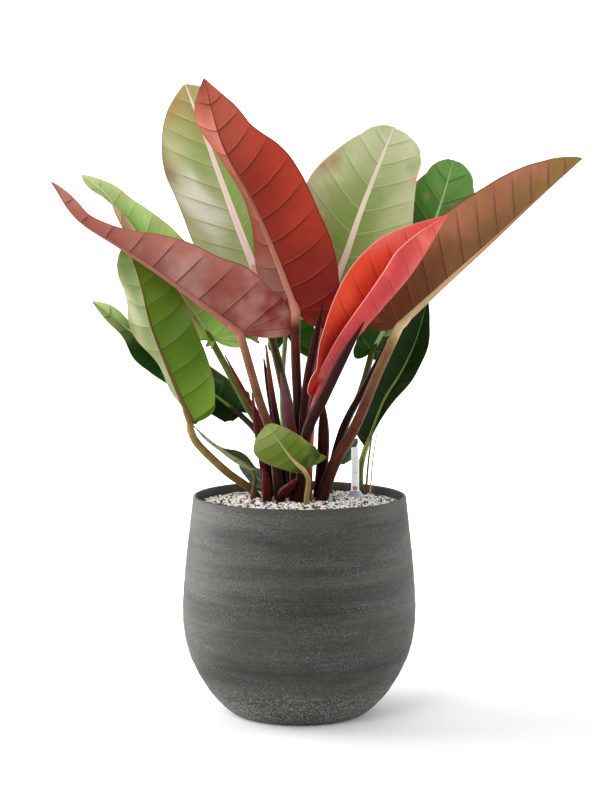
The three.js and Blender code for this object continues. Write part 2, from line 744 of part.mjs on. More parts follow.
for (const [name, leaf] of Object.entries(LEAVES)) {
  const stalkRoom = toSolid(stem(leaf.stalk, { grow: GAP }));
  const blade = cut(toSolid(leafBlade(leaf)), [stalkRoom]);
  add(`leaf_${name}`, toGeometry(blade), leaf.colour, { roughness: 0.5 });
  add(`stalk_${name}`, stem(leaf.stalk), 0x7a4a38);
}
for (const [name, sheath] of Object.entries(SHEATHS)) {
  add(`sheath_${name}`, stem(sheath, sheathShape), SHEATH_COLOUR);
}
for (const [name, root] of Object.entries(AERIAL_ROOTS)) {
  add(`aerial_root_${name}`, stem(root, rootShape), 0x8a6a4a, { roughness: 0.9 });
}

export default plant;
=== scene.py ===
# A potted philodendron with orange-red young leaves, in a round ceramic planter with a water gauge.
# Metres, +Z up. The front is the -Y side, and +X is to the right when the plant is seen from the front.
# The tables of leaves, sheaths and roots are in millimetres and degrees.

import math
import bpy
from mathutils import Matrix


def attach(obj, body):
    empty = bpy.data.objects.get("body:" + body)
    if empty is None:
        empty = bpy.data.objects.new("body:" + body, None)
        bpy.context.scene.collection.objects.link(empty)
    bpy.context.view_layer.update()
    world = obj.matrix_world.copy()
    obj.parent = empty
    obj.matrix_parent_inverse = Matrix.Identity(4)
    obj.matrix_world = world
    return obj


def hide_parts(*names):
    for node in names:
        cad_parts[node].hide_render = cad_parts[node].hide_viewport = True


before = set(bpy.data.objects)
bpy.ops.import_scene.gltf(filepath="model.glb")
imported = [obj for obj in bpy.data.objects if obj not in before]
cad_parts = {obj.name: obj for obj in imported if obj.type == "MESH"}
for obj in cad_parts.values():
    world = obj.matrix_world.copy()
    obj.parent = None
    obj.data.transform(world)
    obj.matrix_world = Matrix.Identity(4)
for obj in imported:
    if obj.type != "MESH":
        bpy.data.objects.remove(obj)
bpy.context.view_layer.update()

from types import SimpleNamespace

import bpy
import numpy as np

rng = np.random.default_rng(11)
FRONT = np.array([0.0, -1.0, 0.0])

# Driving sizes of the planter, its filling and the water gauge, as in the CAD
POT_OUTSIDE = [
    (0.0815, 0.0), (0.0945, 0.0035), (0.118, 0.0265), (0.1382, 0.059), (0.1511, 0.093),
    (0.1562, 0.136), (0.1527, 0.198), (0.1463, 0.258), (0.1426, 0.291),
]
POT = {
    "height": 0.294, "wall": 0.008, "lip_wall": 0.0045, "thins_from": 0.235, "floor": 0.012,
    "floor_bevel": 0.004, "sides": 192, "rows": 150, "lip_rows": 13,
}
FILL = {"edge": 0.2795, "centre": 0.2845, "radius": 0.1378}
GAUGE = {"x": 0.076, "y": 0.050, "sides": 48}
TUBE = {"radius": 0.0053, "wall": 0.0011, "foot": 0.256, "top": 0.352, "bevel": 0.0008}
COLLAR = {"radius": 0.015, "foot": 0.2834, "hole": 0.00565, "top": 0.2925, "edge": 0.0014, "bevel": 0.0004}
FLOAT = {"radius": 0.0066, "foot": 0.0275, "height": 0.052, "rod": 0.0014, "sides": 32}
TIP = {"radius": 0.0034, "length": 0.0045, "top": 0.2985}
MARKS = {"heights": (0.3166, 0.3372), "half_height": 0.0007, "half_width": 0.0024}

# The planter's surface moves in and out by these depths. Bands are given in radians a metre of height.
BANDS = {"depth": 0.00016, "pitch": 270, "fine_depth": 0.00012, "fine_pitch": 610}
SWAY = {"oval": 0.00045, "three_sided": 0.0003, "from_radius": 0.05, "from_height": 0.001}

# Loose grains lie on the granulate in a hexagonal pattern, moved by up to jitter of their spacing. Their
# size, their length each way and their corners vary within the last three ranges.
GRAIN = {
    "spacing": 0.0034, "radius": 0.0022, "lift": 0.0012, "jitter": 0.32, "from_wall": 0.0008,
    "from_gauge": 0.001, "size": (0.7, 1.15), "stretch": (0.72, 1.25), "rough": (0.8, 1.15),
}

# A light and a dark colour of each kind of grain, and its share
GRAIN_KINDS = {
    "cream": ("fff2e6", "f0dcca", 0.40),
    "ice": ("f2fcff", "d2f0f8", 0.24),
    "brown": ("4e322e", "241212", 0.26),
    "grey": ("a89a98", "6c5e5c", 0.10),
}

# Driving sizes of the leaves. Lines of points lie closer together beside the side veins and on the rib.
MARGIN_HALF_THICKNESS = 0.00035
LOBE = {"grown_at": 0.7, "close": 0.65}
BESIDE_VEIN = np.array([0, 0.022, 0.05, 0.1, 0.18, 0.3, 0.5, 0.7, 0.82, 0.9, 0.95, 0.978])
ACROSS_RIB = np.array([0, 0.3, 0.58, 0.8, 0.94, 1.0, 1.18])
FAN_VEINS = 3
RIB_TAPER = {"under": 1.25, "upper": 0.6}
RIB_HEIGHT = {"under": 0.85, "upper": 0.12}
RIB_AT_TIP = 0.0004
RIB_SHARE_AT_MOST = 0.55
RELIEF = {"swell": 0.0011, "groove": 0.0006, "ridge": 0.0003, "groove_width": 0.0016, "ridge_width": 0.001}
FULL_RELIEF_SPACING = 0.03
SMALL_LEAF = 0.11
STEPS_ACROSS = {"small": 9, "large": 17}

# Stalks start in the granulate at the height of the sink, and run out on the midrib past its base,
# getting thinner and further along on their colour map.
STALK_SINK_MM = 276
STALK_END = {"length": 0.022, "rows": 7, "under": 0.3, "upper": 1.1, "thins_by": 0.97, "on_map": 0.1}
WIDE_RIB = 0.005
SHEATH_THICKNESS = 0.7


# How the tables are read

def metres(value):
    return np.array(value, float) / 1000


def rooted(path):
    """A path in metres. Its first point is given by x and y, and lies in the granulate."""
    return metres([(*path[0], STALK_SINK_MM), *path[1:]])


def half(width, turn, lobe, spread=66, curl=0):
    """One side of a leaf.

    width is measured square to the rib at even steps from the base to the tip, where it is 0. turn is
    how far the side leans away from the front, and curl how much further it turns by the margin. lobe
    is how far it reaches back past the stalk, and spread the angle over which it does so."""
    return SimpleNamespace(width=metres([*width, 0]), turn=turn, lobe=lobe / 1000, spread=spread, curl=curl)


def shape(rib, left, right, stalk, radii, faces, veins, rib_width, wave, blunt,
          sweep=(-0.08, 0.36, 0.28), relief=1):
    """A leaf: its midrib from the stalk to the tip, its two sides, and its stalk's path and radii.

    faces is the face that shows in front, veins the number of side veins on each side, rib_width the
    midrib's half width at the base, and wave the height and number of the margin's waves. sweep is how
    far the side veins lean towards the tip, at the base and at the tip, and how much they bow."""
    return SimpleNamespace(
        rib=metres(rib), left=left, right=right, stalk=rooted([*stalk, rib[0]]), radii=metres(radii),
        faces=faces, veins=veins, rib_width=rib_width / 1000, wave=(wave[0] / 1000, wave[1]),
        blunt=blunt, sweep=sweep, relief=relief)


def face(codes, groove="4c4a2c", edge="a89a70", base=None, tip=None, tip_from=0.5, left=None, patches=(),
         vein_highlight_share=0.45, panels=0.17):
    """The looks of one face of a leaf, as sRGB codes.

    codes are the colour beside the midrib and at the margin, of the light side of a side vein, and of
    the midrib's base and tip. The light side of a vein is a painted highlight, and the same colour draws
    the faint finer veins. groove is the colour of the painted shadow and shade on a vein's side towards the
    stalk and of the painted shade in the crease beside the midrib, edge the margin's line, and base and tip
    the tints of the two ends. left is the tint of the left half, its share and its tint near the tip: partly
    the half's own colour and partly painted light and shade for the way that half of the folded leaf faces
    the light. A patch is a colour, how many cross a metre, how much of the leaf it covers and, if it lies in
    one place, how far along and across that is and how far it reaches. panels is the shading
    painted across each strip between two side veins, and vein_highlight_share how strongly a vein's painted
    highlight shows."""
    inner, outer, vein, rib_base, rib_tip = codes.split()
    return SimpleNamespace(
        inner=inner, outer=outer, vein=vein, rib_base=rib_base, rib_tip=rib_tip, groove=groove, edge=edge,
        base=base, tip=tip, tip_from=tip_from, left=left, patches=patches, vein_highlight_share=vein_highlight_share,
        panels=panels)


# The plant

LEAVES = {
    "centre": shape(
        [(-5, 0, 540), (-33, 5, 614), (-66, 10, 691), (-103, 15, 763), (-127, 20, 849)],
        half([50, 60, 64, 64, 60, 54, 46, 34], [58, 63, 74, 82, 74, 40, 0], 40),
        half([64, 75, 80, 79, 77, 70, 50, 32], [10, 14, 12, 8], 50),
        [(-4, 10), (-2, 9, 340), (-2, 6, 406), (-5, 2, 480)], [7.5, 6.5, 6.5],
        "under", 10, 4.8, (3, 2.6), 0),
    "back_left": shape(
        [(-60, 92, 589), (-84, 96, 651), (-108, 101, 716), (-132, 106, 783), (-157, 110, 845)],
        half([52, 62, 66, 66, 67, 69, 61, 42], [-8], 50),
        half([55, 68, 72, 72, 70, 68, 60, 42], [-6], 45),
        [(-12, 38), (-13, 48, 388), (-24, 62, 445), (-38, 78, 500)], [7, 7, 6, 5],
        "upper", 9, 5.5, (2.5, 2.2), 0.2, sweep=(0.55, 0.85, 0.15)),
    "left": shape(
        [(-79, -5, 511), (-131, -14, 550), (-184, -24, 590), (-237, -33, 626), (-291, -43, 663),
         (-323, -52, 711)],
        half([50, 58, 60, 56, 48, 38, 28, 18], [98, 102, 104, 96], 40),
        half([72, 78, 66, 57, 42, 24, 16, 15], [14, 12, 10, 10], 72),
        [(-26, 12), (-36, 9, 366), (-53.5, 4, 420)], [7, 6.5, 6, 5.5],
        "under", 9, 5, (3, 2.4), 0.3, sweep=(-0.3, -0.1, 0.05)),
    "upper_left": shape(
        [(-122, 62, 501), (-154, 66, 548), (-197, 71, 601), (-239, 75, 649), (-261, 80, 692),
         (-296, 84, 721)],
        half([22, 26, 28, 28, 27, 25, 22, 16], [-70, -80, -100, -116, -66, -30], 22),
        half([56, 60, 57, 53, 50, 40, 24, 12], [-8], 50),
        [(-37, 44), (-50, 50, 366), (-75, 55, 415)], [6, 5.5, 5, 4.5],
        "upper", 8, 3, (4, 2.6), 0.3),
    "low_left": shape(
        [(-146, -8, 394), (-173, 0, 456), (-198, 9, 519), (-212, 18, 573), (-231, 26, 633)],
        half([32, 48, 54, 56, 54, 50, 46, 36], [84, 78, 60, 54, 45, 20], 16),
        half([36, 50, 55, 55, 54, 50, 37, 22], [8], 12),
        [(-52, 34), (-66, 30, 297), (-98, 20, 322), (-134, 4, 359), (-145, -4, 380)], [6, 5.5, 5.5, 5, 5],
        "under", 8, 3.5, (4, 3), 0.3),
    "dark_left": shape(
        [(-88, 100, 397), (-138, 105, 434), (-187, 110, 471), (-237, 115, 509), (-287, 120, 547)],
        half([23, 29, 31, 30, 33, 33, 15, 10], [-35], 14),
        half([40, 40, 35, 32, 28, 21, 12, 17], [-35], 30),
        [(-30, 68), (-42, 76, 335), (-60, 88, 370)], [5, 4.5, 4],
        "upper", 8, 2.5, (3, 2.4), 0.3),
    "back_right": shape(
        [(37, 128, 542), (63, 132, 607), (85, 136, 671), (110, 141, 735), (131, 145, 788)],
        half([55, 70, 78, 82, 85, 80, 63, 38], [-8], 54),
        half([55, 70, 80, 82, 76, 67, 57, 49], [-8], 45),
        [(10, 54), (14, 66, 370), (24, 91, 455)], [7, 6, 5],
        "upper", 8, 5.5, (2.5, 2), 0.55, sweep=(0.3, 0.6, 0.2)),
    "young": shape(
        [(32, -30, 453), (67, -32, 500), (110, -35, 552), (152, -38, 604), (195, -40, 669)],
        half([22, 41, 50, 60, 67, 66, 59, 38], [-52, -28, -16, -10, -6], 31, spread=120),
        half([20, 30, 38, 44, 50, 57, 66, 46], [-60], 14, curl=-140),
        [(10, -7), (12, -14, 340), (16, -22, 400)], [6, 5, 4.5],
        "upper", 9, 3, (0.4, 1.5), 0, relief=0.25),
    "right": shape(
        [(133, 5, 519), (193, 2, 575), (254, 0, 631), (314, -4, 688), (373, -10, 742)],
        half([52, 64, 70, 73, 69, 61, 51, 32], [12], 46),
        half([40, 50, 54, 54, 50, 44, 34, 20], [98], 40),
        [(26, -3), (45, 0, 332), (75, 5, 386), (104, 6, 455)], [8.5, 7.8, 6.6, 6],
        "under", 11, 5.5, (2.5, 3), 0.3, sweep=(0.4, 0.95, 0.05)),
    "upper_right": shape(
        [(102, 150, 475), (139, 155, 544), (173, 160, 615), (198, 165, 682), (216, 170, 743)],
        half([24, 36, 50, 58, 60, 56, 50, 32], [-8], 30),
        half([14, 19, 27, 37, 47, 52, 48, 36], [-8], 14),
        [(32, 48), (60, 78, 371), (84, 110, 420)], [6, 5, 4.5],
        "upper", 8, 3, (3, 2), 0.7, sweep=(0.4, 0.7, 0.1)),
    "dark_right": shape(
        [(94, 88, 354), (116, 93, 411), (141, 98, 452), (161, 103, 495), (177, 108, 550)],
        half([19, 27, 33, 38, 40, 40, 36, 24], [-20], 10),
        half([3, 7, 13, 18, 21, 22, 20, 12], [-30], 3),
        [(85, 88), (84, 88, 310), (87, 88, 332)], [4.5, 4],
        "upper", 7, 2.2, (2, 2), 0.3, sweep=(0.4, 0.7, 0.1)),
    "back_centre": shape(
        [(-19, 134, 501), (-26, 153, 563), (-34, 169, 624), (-44, 182, 679), (-53, 192, 730)],
        half([20, 34, 46, 52, 54, 50, 42, 28], [-6], 34),
        half([38, 46, 54, 58, 56, 50, 42, 28], [-6], 54),
        [(-8, 64), (-20, 80, 360), (-24, 104, 430)], [5.5, 4, 3.4],
        "upper", 8, 3, (3, 2), 0.4),
    "front": shape(
        [(6, -47, 333), (-7, -48, 345), (-19, -48, 360), (-31, -47, 377), (-43, -45, 393)],
        half([6, 12, 17, 24, 31, 36, 36, 28], [6], 4),
        half([30, 33, 32, 30, 28, 24, 19, 12], [8], 34, spread=26),
        [(9, -36), (10, -38, 300), (12, -43, 318)], [4, 3.2, 3],
        "under", 6, 2.4, (1.5, 1.4), 0.6, sweep=(-0.1, 0.1, 0.1)),
    "rim_left": shape(
        [(-65, 12, 329), (-88, 12, 343), (-106, 12, 355), (-125, 12, 369), (-141, 12, 384)],
        half([7, 13, 15, 14, 12, 10, 7, 4], [-75], 8),
        half([9, 19, 18, 10, 4, 3, 2.5, 2], [66], 10),
        [(-66, 14), (-62, 13, 297), (-60, 12, 314)], [3, 2.4],
        "upper", 5, 1.4, (1, 1), 0),
    "rim_back": shape(
        [(-46, 90, 294), (-55, 90, 302), (-64, 89, 309), (-74, 88, 316), (-84, 87, 322)],
        half([6, 10, 12, 12, 11, 9, 7, 4], [-20], 4),
        half([8, 14, 16, 15, 13, 10, 7, 4], [-20], 5),
        [(-40, 92), (-42, 91, 287)], [2.2, 1.8],
        "upper", 5, 1.2, (1, 1), 0.2),
    "beside_gauge": shape(
        [(56, 80, 329), (61, 80, 337), (67, 79, 345), (73, 78, 353), (80, 77, 361)],
        half([4, 5, 6, 7, 7, 6, 5, 4], [-10], 3),
        half([7, 10, 12, 12, 11, 9, 7, 5], [-10], 5),
        [(44, 72), (44, 73, 296), (48, 76, 313)], [2.4, 2, 1.8],
        "upper", 5, 1.2, (0.8, 1), 0.3),
}

# Sheaths and spears: the leaf wraps and the leaves still rolled up, between the stalks. Each has its path,
# its radii, and its colours from the granulate to the tip and of its streaks. The lighter streaks are
# painted highlights, and the dark foot is partly painted shade where the stems crowd together.
SHEATHS = {
    "tall_front": ([(9, 4), (5, -2, 367), (9, -3, 434), (20, -8, 495), (31, -13, 549)],
                   [6, 5.5, 5.8, 5.5, 1], "190202 2c0606 300e0d 4c1613"),
    "tall_right": ([(-2, -20), (9, -34, 376), (32, -50, 430), (58, -66, 484), (83.5, -78, 530)],
                   [6.5, 7, 7.5, 6, 1], "190303 2a0707 260808 491a19"),
    "short_left": ([(-18, 26), (-27, 25, 366), (-37, 22, 430), (-45, 20, 494)], [5.5, 5, 4, 1.2],
                   "1f0504 381413 824522 51231e"),
    "short_left_inner": ([(-24, 36), (-34, 37, 380), (-43, 37, 440), (-48, 36, 474)], [4, 4, 3, 1],
                         "190202 320708 350e10 4d1e1d"),
    "violet": ([(-8, -9), (-7, -8, 350), (-14, -6, 400), (-25, -2, 458)], [5.5, 7, 7, 1],
               "210605 4d1c1e 6c4552 602d35"),
    "thin_red": ([(-40, 28), (-50, 31, 378), (-72, 38, 424), (-101, 46, 478)], [3.6, 3.4, 3, 0.8],
                 "2b0605 55120f 721f1a 7c2f29"),
    "outer_left": ([(-41, 4), (-50, 0, 345), (-57, -4, 387), (-63, -7, 432)], [5, 5, 4, 0.9],
                   "250504 420e0b 561815 61241f"),
    "spindle": ([(24, 28), (32, 32, 340), (33, 34, 383), (32, 35, 417)], [6, 8, 7, 1.4],
                "290403 2d0c0b 281313 60201a"),
    "beside_stalk": ([(32, 18), (57, 24, 375), (90, 27, 440), (118, 28, 501)], [5, 5, 4, 0.9],
                     "180606 250b0c 351315 451e1e"),
    "low_front": ([(-28, -12), (-22, -20, 298), (-12, -29, 309), (-2, -36, 320)], [5, 6.5, 5.5, 1.5],
                  "210202 3b0705 450f0d 602019"),
    "low_left": ([(-43, -9), (-43, -13, 302), (-45, -15, 318), (-48, -16, 332)], [6, 6.5, 5, 1.5],
                 "290503 450e0b 521611 6e281f"),
}

AERIAL_ROOTS = {
    "brown": ([(91, 78), (95, 77, 330), (101, 75, 376)], [1.6, 1.3, 0.9], "5c3c28 7c5a3c 8c6a4a 3c2418"),
    "pale": ([(97, 81), (101, 80, 330), (107, 78, 371)], [1, 0.9, 0.7], "c8a080 d8b494 e0c0a4 b08868"),
}

# Looks of the leaves' faces, and of each stalk from the granulate to the leaf and of its streaks. Each
# stalk's dark foot is partly its own colour and partly painted shade where the stems crowd together.
GREEN_BACK = face("6a7c42 7c8a50 98a468 a89a6c 98a064")
LOOKS = {
    "centre": {
        "stalk": "1c0603 280a03 5a2512 170504",
        "upper": face("a33a25 c04a2c de8a66 e8a888 c8604a"),
        "under": face("8b2b1e ad3a29 b85c48 b67c68 762a20", base="741c14", tip="b45a48", groove="4c120d",
            # its left tint is painted shade that darkens the folded left strip, which faces the lamps
            edge="7a1a14", vein_highlight_share=0.25, left=("7a3628", 0.85, "944a3a")),
    },
    "back_left": {
        "stalk": "25160d 42391f 5b5934 272515",
        "upper": face("8cae58 bcc48a e2c8a0 ffe6de fbe2d6", tip="a8a468", groove="85985a", edge="a8806a",
            left=("c3c49c", 0.5, "b4a468"), patches=[("cfa588", 17, 0.2),
            ("b4905c", 10, 0.55, 0.9, -0.9, 0.35), ("8a7048", 14, 0.9, 0.36, -1, 0.3),
            ("f6f4ec", 11, 0.9, 0.3, -0.5, 0.32), ("86a854", 12, 0.6, 0.55, -0.2, 0.3)]),
        "under": face("827749 997a5e ac8c72 d9a58e c99a7c"),
    },
    "left": {
        "stalk": "372111 6e492b 885d3f 442d1a",
        "upper": face("6b8a3c 8a9a4c c0c486 d8b090 c8a080"),
        "under": face("895046 ae6e62 b07c70 a5675a a86c60", base="80281e", tip="aa6053", groove="4e2824",
            edge="7c3a34", tip_from=0.3, vein_highlight_share=0.2, patches=[("c29a90", 11, 0.35)]),
    },
    "upper_left": {
        "stalk": "2c210c 484c1f 63702e 2a2911",
        # its base tint is painted light, lifted where the left leaf shades the base
        "upper": face("92c457 bdda83 dcebb8 cfe0a8 dcecc0", base="a1da67", tip="c0cf90", groove="77ab4a",
            edge="cf9c86", patches=[("d69c7c", 12, 0.4), ("dcefb8", 12, 0.4)]),
        "under": face("6e4a2b 7a5334 8c6745 99745a a48468"),
    },
    "low_left": {
        "stalk": "4c3022 7c6a36 94803e 80402f",
        "upper": face("547f28 6a9434 a8c072 c0ae7c a4b068"),
        "under": face("506e15 466210 6d8a2e 71552e 5a4220", base="628424", groove="405c0e", edge="7c4634",
            vein_highlight_share=0.15, left=("4a5a18", 0.95, "4a5a18"), patches=[("8e8660", 9, 0.7, 0.5, -1, 0.5),
            ("7a4c34", 15, 0.7, 0.85, 0.4, 0.16)]),
    },
    "dark_left": {
        "stalk": "220f0b 321913 3e3124 170907",
        "upper": face("12340a 1a3f0e 487338 86a85c 9ab070", base="153006", tip="9aae68", groove="1a3810",
            edge="a08c60", tip_from=0.62, patches=[("80844a", 22, 0.14)]),
        "under": GREEN_BACK,
    },
    "back_right": {
        "stalk": "371d15 412f1f 776248 271c16",
        "upper": face("8ca555 c6cd9a e5dcae ffe8e0 f4ead0", tip="cdd3a8", groove="8aa064", edge="d8d0a8",
            patches=[("d6d8b4", 10, 0.4), ("7f9c4c", 13, 0.34), ("e8e8d4", 9, 0.9, 0.08, 0.6, 0.3),
            ("b08a68", 16, 0.6, 0.55, -1, 0.2), ("e4a89c", 9, 0.9, 0.62, 1, 0.1)]),
        "under": face("808251 958f68 a59f7a d0b090 c8b890"),
    },
    "young": {
        "stalk": "7c2a26 b44c42 c2504a 7c2420",
        "upper": face("c32717 e84d32 e8745c d8483c e87868", base="a91e16", tip="ec6a5e", groove="a82216",
            edge="ee9c90", vein_highlight_share=0.12, panels=0.03, patches=[("f0857c", 9, 0.9, 0.8, -1, 0.35),
            ("8c120c", 11, 0.8, 0.1, -0.4, 0.35)]),
        # the under face shows on the young leaf's rolled half, and its patches are painted highlights on the
        # roll
        "under": face("b23a3d c24343 e88a80 c85450 d86c66", base="b04444", tip="d8584f", groove="983034",
            edge="f0aca2", vein_highlight_share=0.12, panels=0.06, patches=[("ec8a82", 16, 0.28)]),
    },
    "right": {
        "stalk": "260b08 5d2f1a 88683f 451d17",
        "upper": face("4f7430 5f843a a4b878 c4b488 b0b070"),
        "under": face("75512c a3694b a4705a ceb488 a5654f", base="6d3f24", tip="8c6c3a", groove="491d1a",
            edge="5c221e", patches=[("b0685a", 16, 0.3)]),
    },
    "upper_right": {
        "stalk": "1f1309 2f3411 414c19 1b1a0b",
        "upper": face("275117 508339 7aa65c a8c488 9cbc78", base="28491a", tip="6c984c", groove="2a5216",
            edge="b4bc84", patches=[("b8945f", 26, 0.14), ("2c541a", 16, 0.3)]),
        "under": GREEN_BACK,
    },
    "dark_right": {
        "stalk": "4c5c26 6c8436 8c9a5c 3e4c1c",
        "upper": face("0d2801 163104 33521c 869a4c 5f7e34", groove="102404", edge="78683c",
            patches=[("37481e", 20, 0.2)]),
        "under": GREEN_BACK,
    },
    "back_centre": {
        "stalk": "5c6c30 7c8c4c 949c64 4c5a28",
        "upper": face("0f2906 123208 305a1e 5c8444 2c5418", base="2e6212", groove="0a2004", edge="425f28"),
        "under": GREEN_BACK,
    },
    "front": {
        "stalk": "6c7036 937f4c a88e60 5c5c2a",
        "upper": face("4c6c22 5c7c2c 8aa05c a8a870 98a860"),
        "under": face("596c20 627223 8c9e52 bb9d72 8c985a", base="2d4004", tip="8d9a56", groove="4f5f1b",
            edge="a87058", vein_highlight_share=0.1, patches=[("808e44", 30, 0.34)]),
    },
    "rim_left": {
        "stalk": "4c3022 5c5428 706a3c 38341a",
        "upper": face("26461c 325424 527242 8c9c68 c4bc9c", left=("b4b48c", 0.9, "d0cdb0")),
        "under": face("9aa87c b0b490 bcc0a0 a89878 b0a888"),
    },
    "rim_back": {
        "stalk": "5c603c 6c7448 7c8458 484c30",
        "upper": face("587460 6c846a 849a80 98a888 8c9c88"),
        "under": face("8c9c88 98a894 a8b4a0 a8ac98 a0ac98"),
    },
    "beside_gauge": {
        "stalk": "404820 4c5c2a 5c6c38 38401a",
        "upper": face("446a3e 648454 7c9a6c 90a070 889c70"),
        "under": face("7c9474 8ca080 9cb090 a0a888 98a888"),
    },
}


# Curves

def smooth(values, t):
    """The values at t, from 0 to 1, on the smooth curve through evenly spaced values."""
    values = np.asarray(values, float)
    t = np.asarray(t, float)
    if len(values) == 1:
        return np.zeros(t.shape + values.shape[1:]) + values[0]
    last = len(values) - 1
    before_first = 2 * values[:1] - values[1:2]
    after_last = 2 * values[-1:] - values[-2:-1]
    padded = np.concatenate([before_first, values, after_last])
    at = np.clip(t, 0, 1) * last
    i = np.minimum(at.astype(int), last - 1)
    u = (at - i).reshape(t.shape + (1,) * (values.ndim - 1))
    before, start, end, after = (padded[i + k] for k in range(4))
    slope_in = (end - before) / 2
    slope_out = (after - start) / 2
    rise = end - start
    square = 3 * rise - 2 * slope_in - slope_out
    cube = slope_in + slope_out - 2 * rise
    return start + u * (slope_in + u * (square + u * cube))


def unit(vectors):
    return vectors / np.linalg.norm(vectors, axis=-1, keepdims=True)


def frame_at(path, t, step=1e-4):
    """A path's place at t, and its directions there: along it, across it to the right, and to the front."""
    along = unit(smooth(path, np.minimum(t + step, 1)) - smooth(path, np.maximum(t - step, 0)))
    across = unit(np.cross(along, FRONT))
    return smooth(path, t), along, across, np.cross(across, along)


def length_of(path):
    points = smooth(path, np.linspace(0, 1, 201))
    return np.linalg.norm(np.diff(points, axis=0), axis=1).sum()


def smooth_step(value, low, high):
    u = np.clip((value - low) / (high - low), 0, 1)
    return u * u * (3 - 2 * u)


# Meshes

def weld(points, faces):
    """Faces on the distinct points, without the corners and faces that come to nothing."""
    _, first, number = np.unique(np.round(points, 7), axis=0, return_index=True, return_inverse=True)
    number = number.ravel()
    kept_faces, kept = [], []
    for i, corners in enumerate(faces):
        corners = [int(c) for k, c in enumerate(corners) if number[c] != number[corners[k - 1]]]
        if len({number[c] for c in corners}) > 2:
            kept_faces.append(corners)
            kept.append(i)
    return points[first], number, kept_faces, kept


def piece(name, node, points, faces, materials, uvs=None, wears=None, body="planting", sharp=35):
    """An object that stands for a CAD node, with its points welded. uvs maps a name to a pair for each."""
    welded, number, kept_faces, kept = weld(np.asarray(points, float), faces)
    mesh = bpy.data.meshes.new(name)
    mesh.from_pydata(welded.tolist(), [], [[int(number[c]) for c in corners] for corners in kept_faces])
    corners = np.concatenate([np.asarray(corners) for corners in kept_faces])
    for uv_name, pairs in (uvs or {}).items():
        layer = mesh.uv_layers.new(name=uv_name)
        layer.data.foreach_set("uv", np.asarray(pairs, float)[corners].ravel())
    for material in materials:
        mesh.materials.append(material)
    if wears is not None:
        mesh.polygons.foreach_set("material_index", np.asarray(wears, int)[kept])
    mesh.shade_smooth()
    mesh.set_sharp_from_angle(angle=math.radians(sharp))
    mesh.validate()
    made = bpy.data.objects.new(name, mesh)
    bpy.context.collection.objects.link(made)
    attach(made, body)
    if node:
        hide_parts(node)


def dress(node, material):
    """Gives a CAD node that shows as it is its material."""
    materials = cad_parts[node].data.materials
    materials.clear()
    materials.append(material)


def grid_faces(rows, columns, start=0, flip=False):
    """Quads on a grid of points numbered row by row."""
    i, j = np.meshgrid(np.arange(rows - 1), np.arange(columns - 1), indexing="ij")
    low = (start + i * columns + j).ravel()
    quads = np.stack([low, low + 1, low + columns + 1, low + columns], axis=1)
    return quads[:, ::-1] if flip else quads


def lathe(outline, sides, bend=None):
    """Points and quads of an outline of radii and heights, turned round the Z axis."""
    outline = np.asarray(outline, float)
    angle = 2 * math.pi * (np.arange(sides + 1) / sides)
    radius = outline[:, :1] + (0 * angle if bend is None else bend(outline, angle))
    points = np.stack([radius * np.cos(angle), radius * np.sin(angle), outline[:, 1:] + 0 * angle], axis=2)
    points[:, -1] = points[:, 0]
    return points.reshape(-1, 3), grid_faces(len(outline), sides + 1)


# Materials

def rgb(code):
    """A linear colour from an sRGB code."""
    shares = [int(code[i:i + 2], 16) / 255 for i in (0, 2, 4)]
    linear = [s / 12.92 if s <= 0.04045 else ((s + 0.055) / 1.055) ** 2.4 for s in shares]
    return (*linear, 1.0)


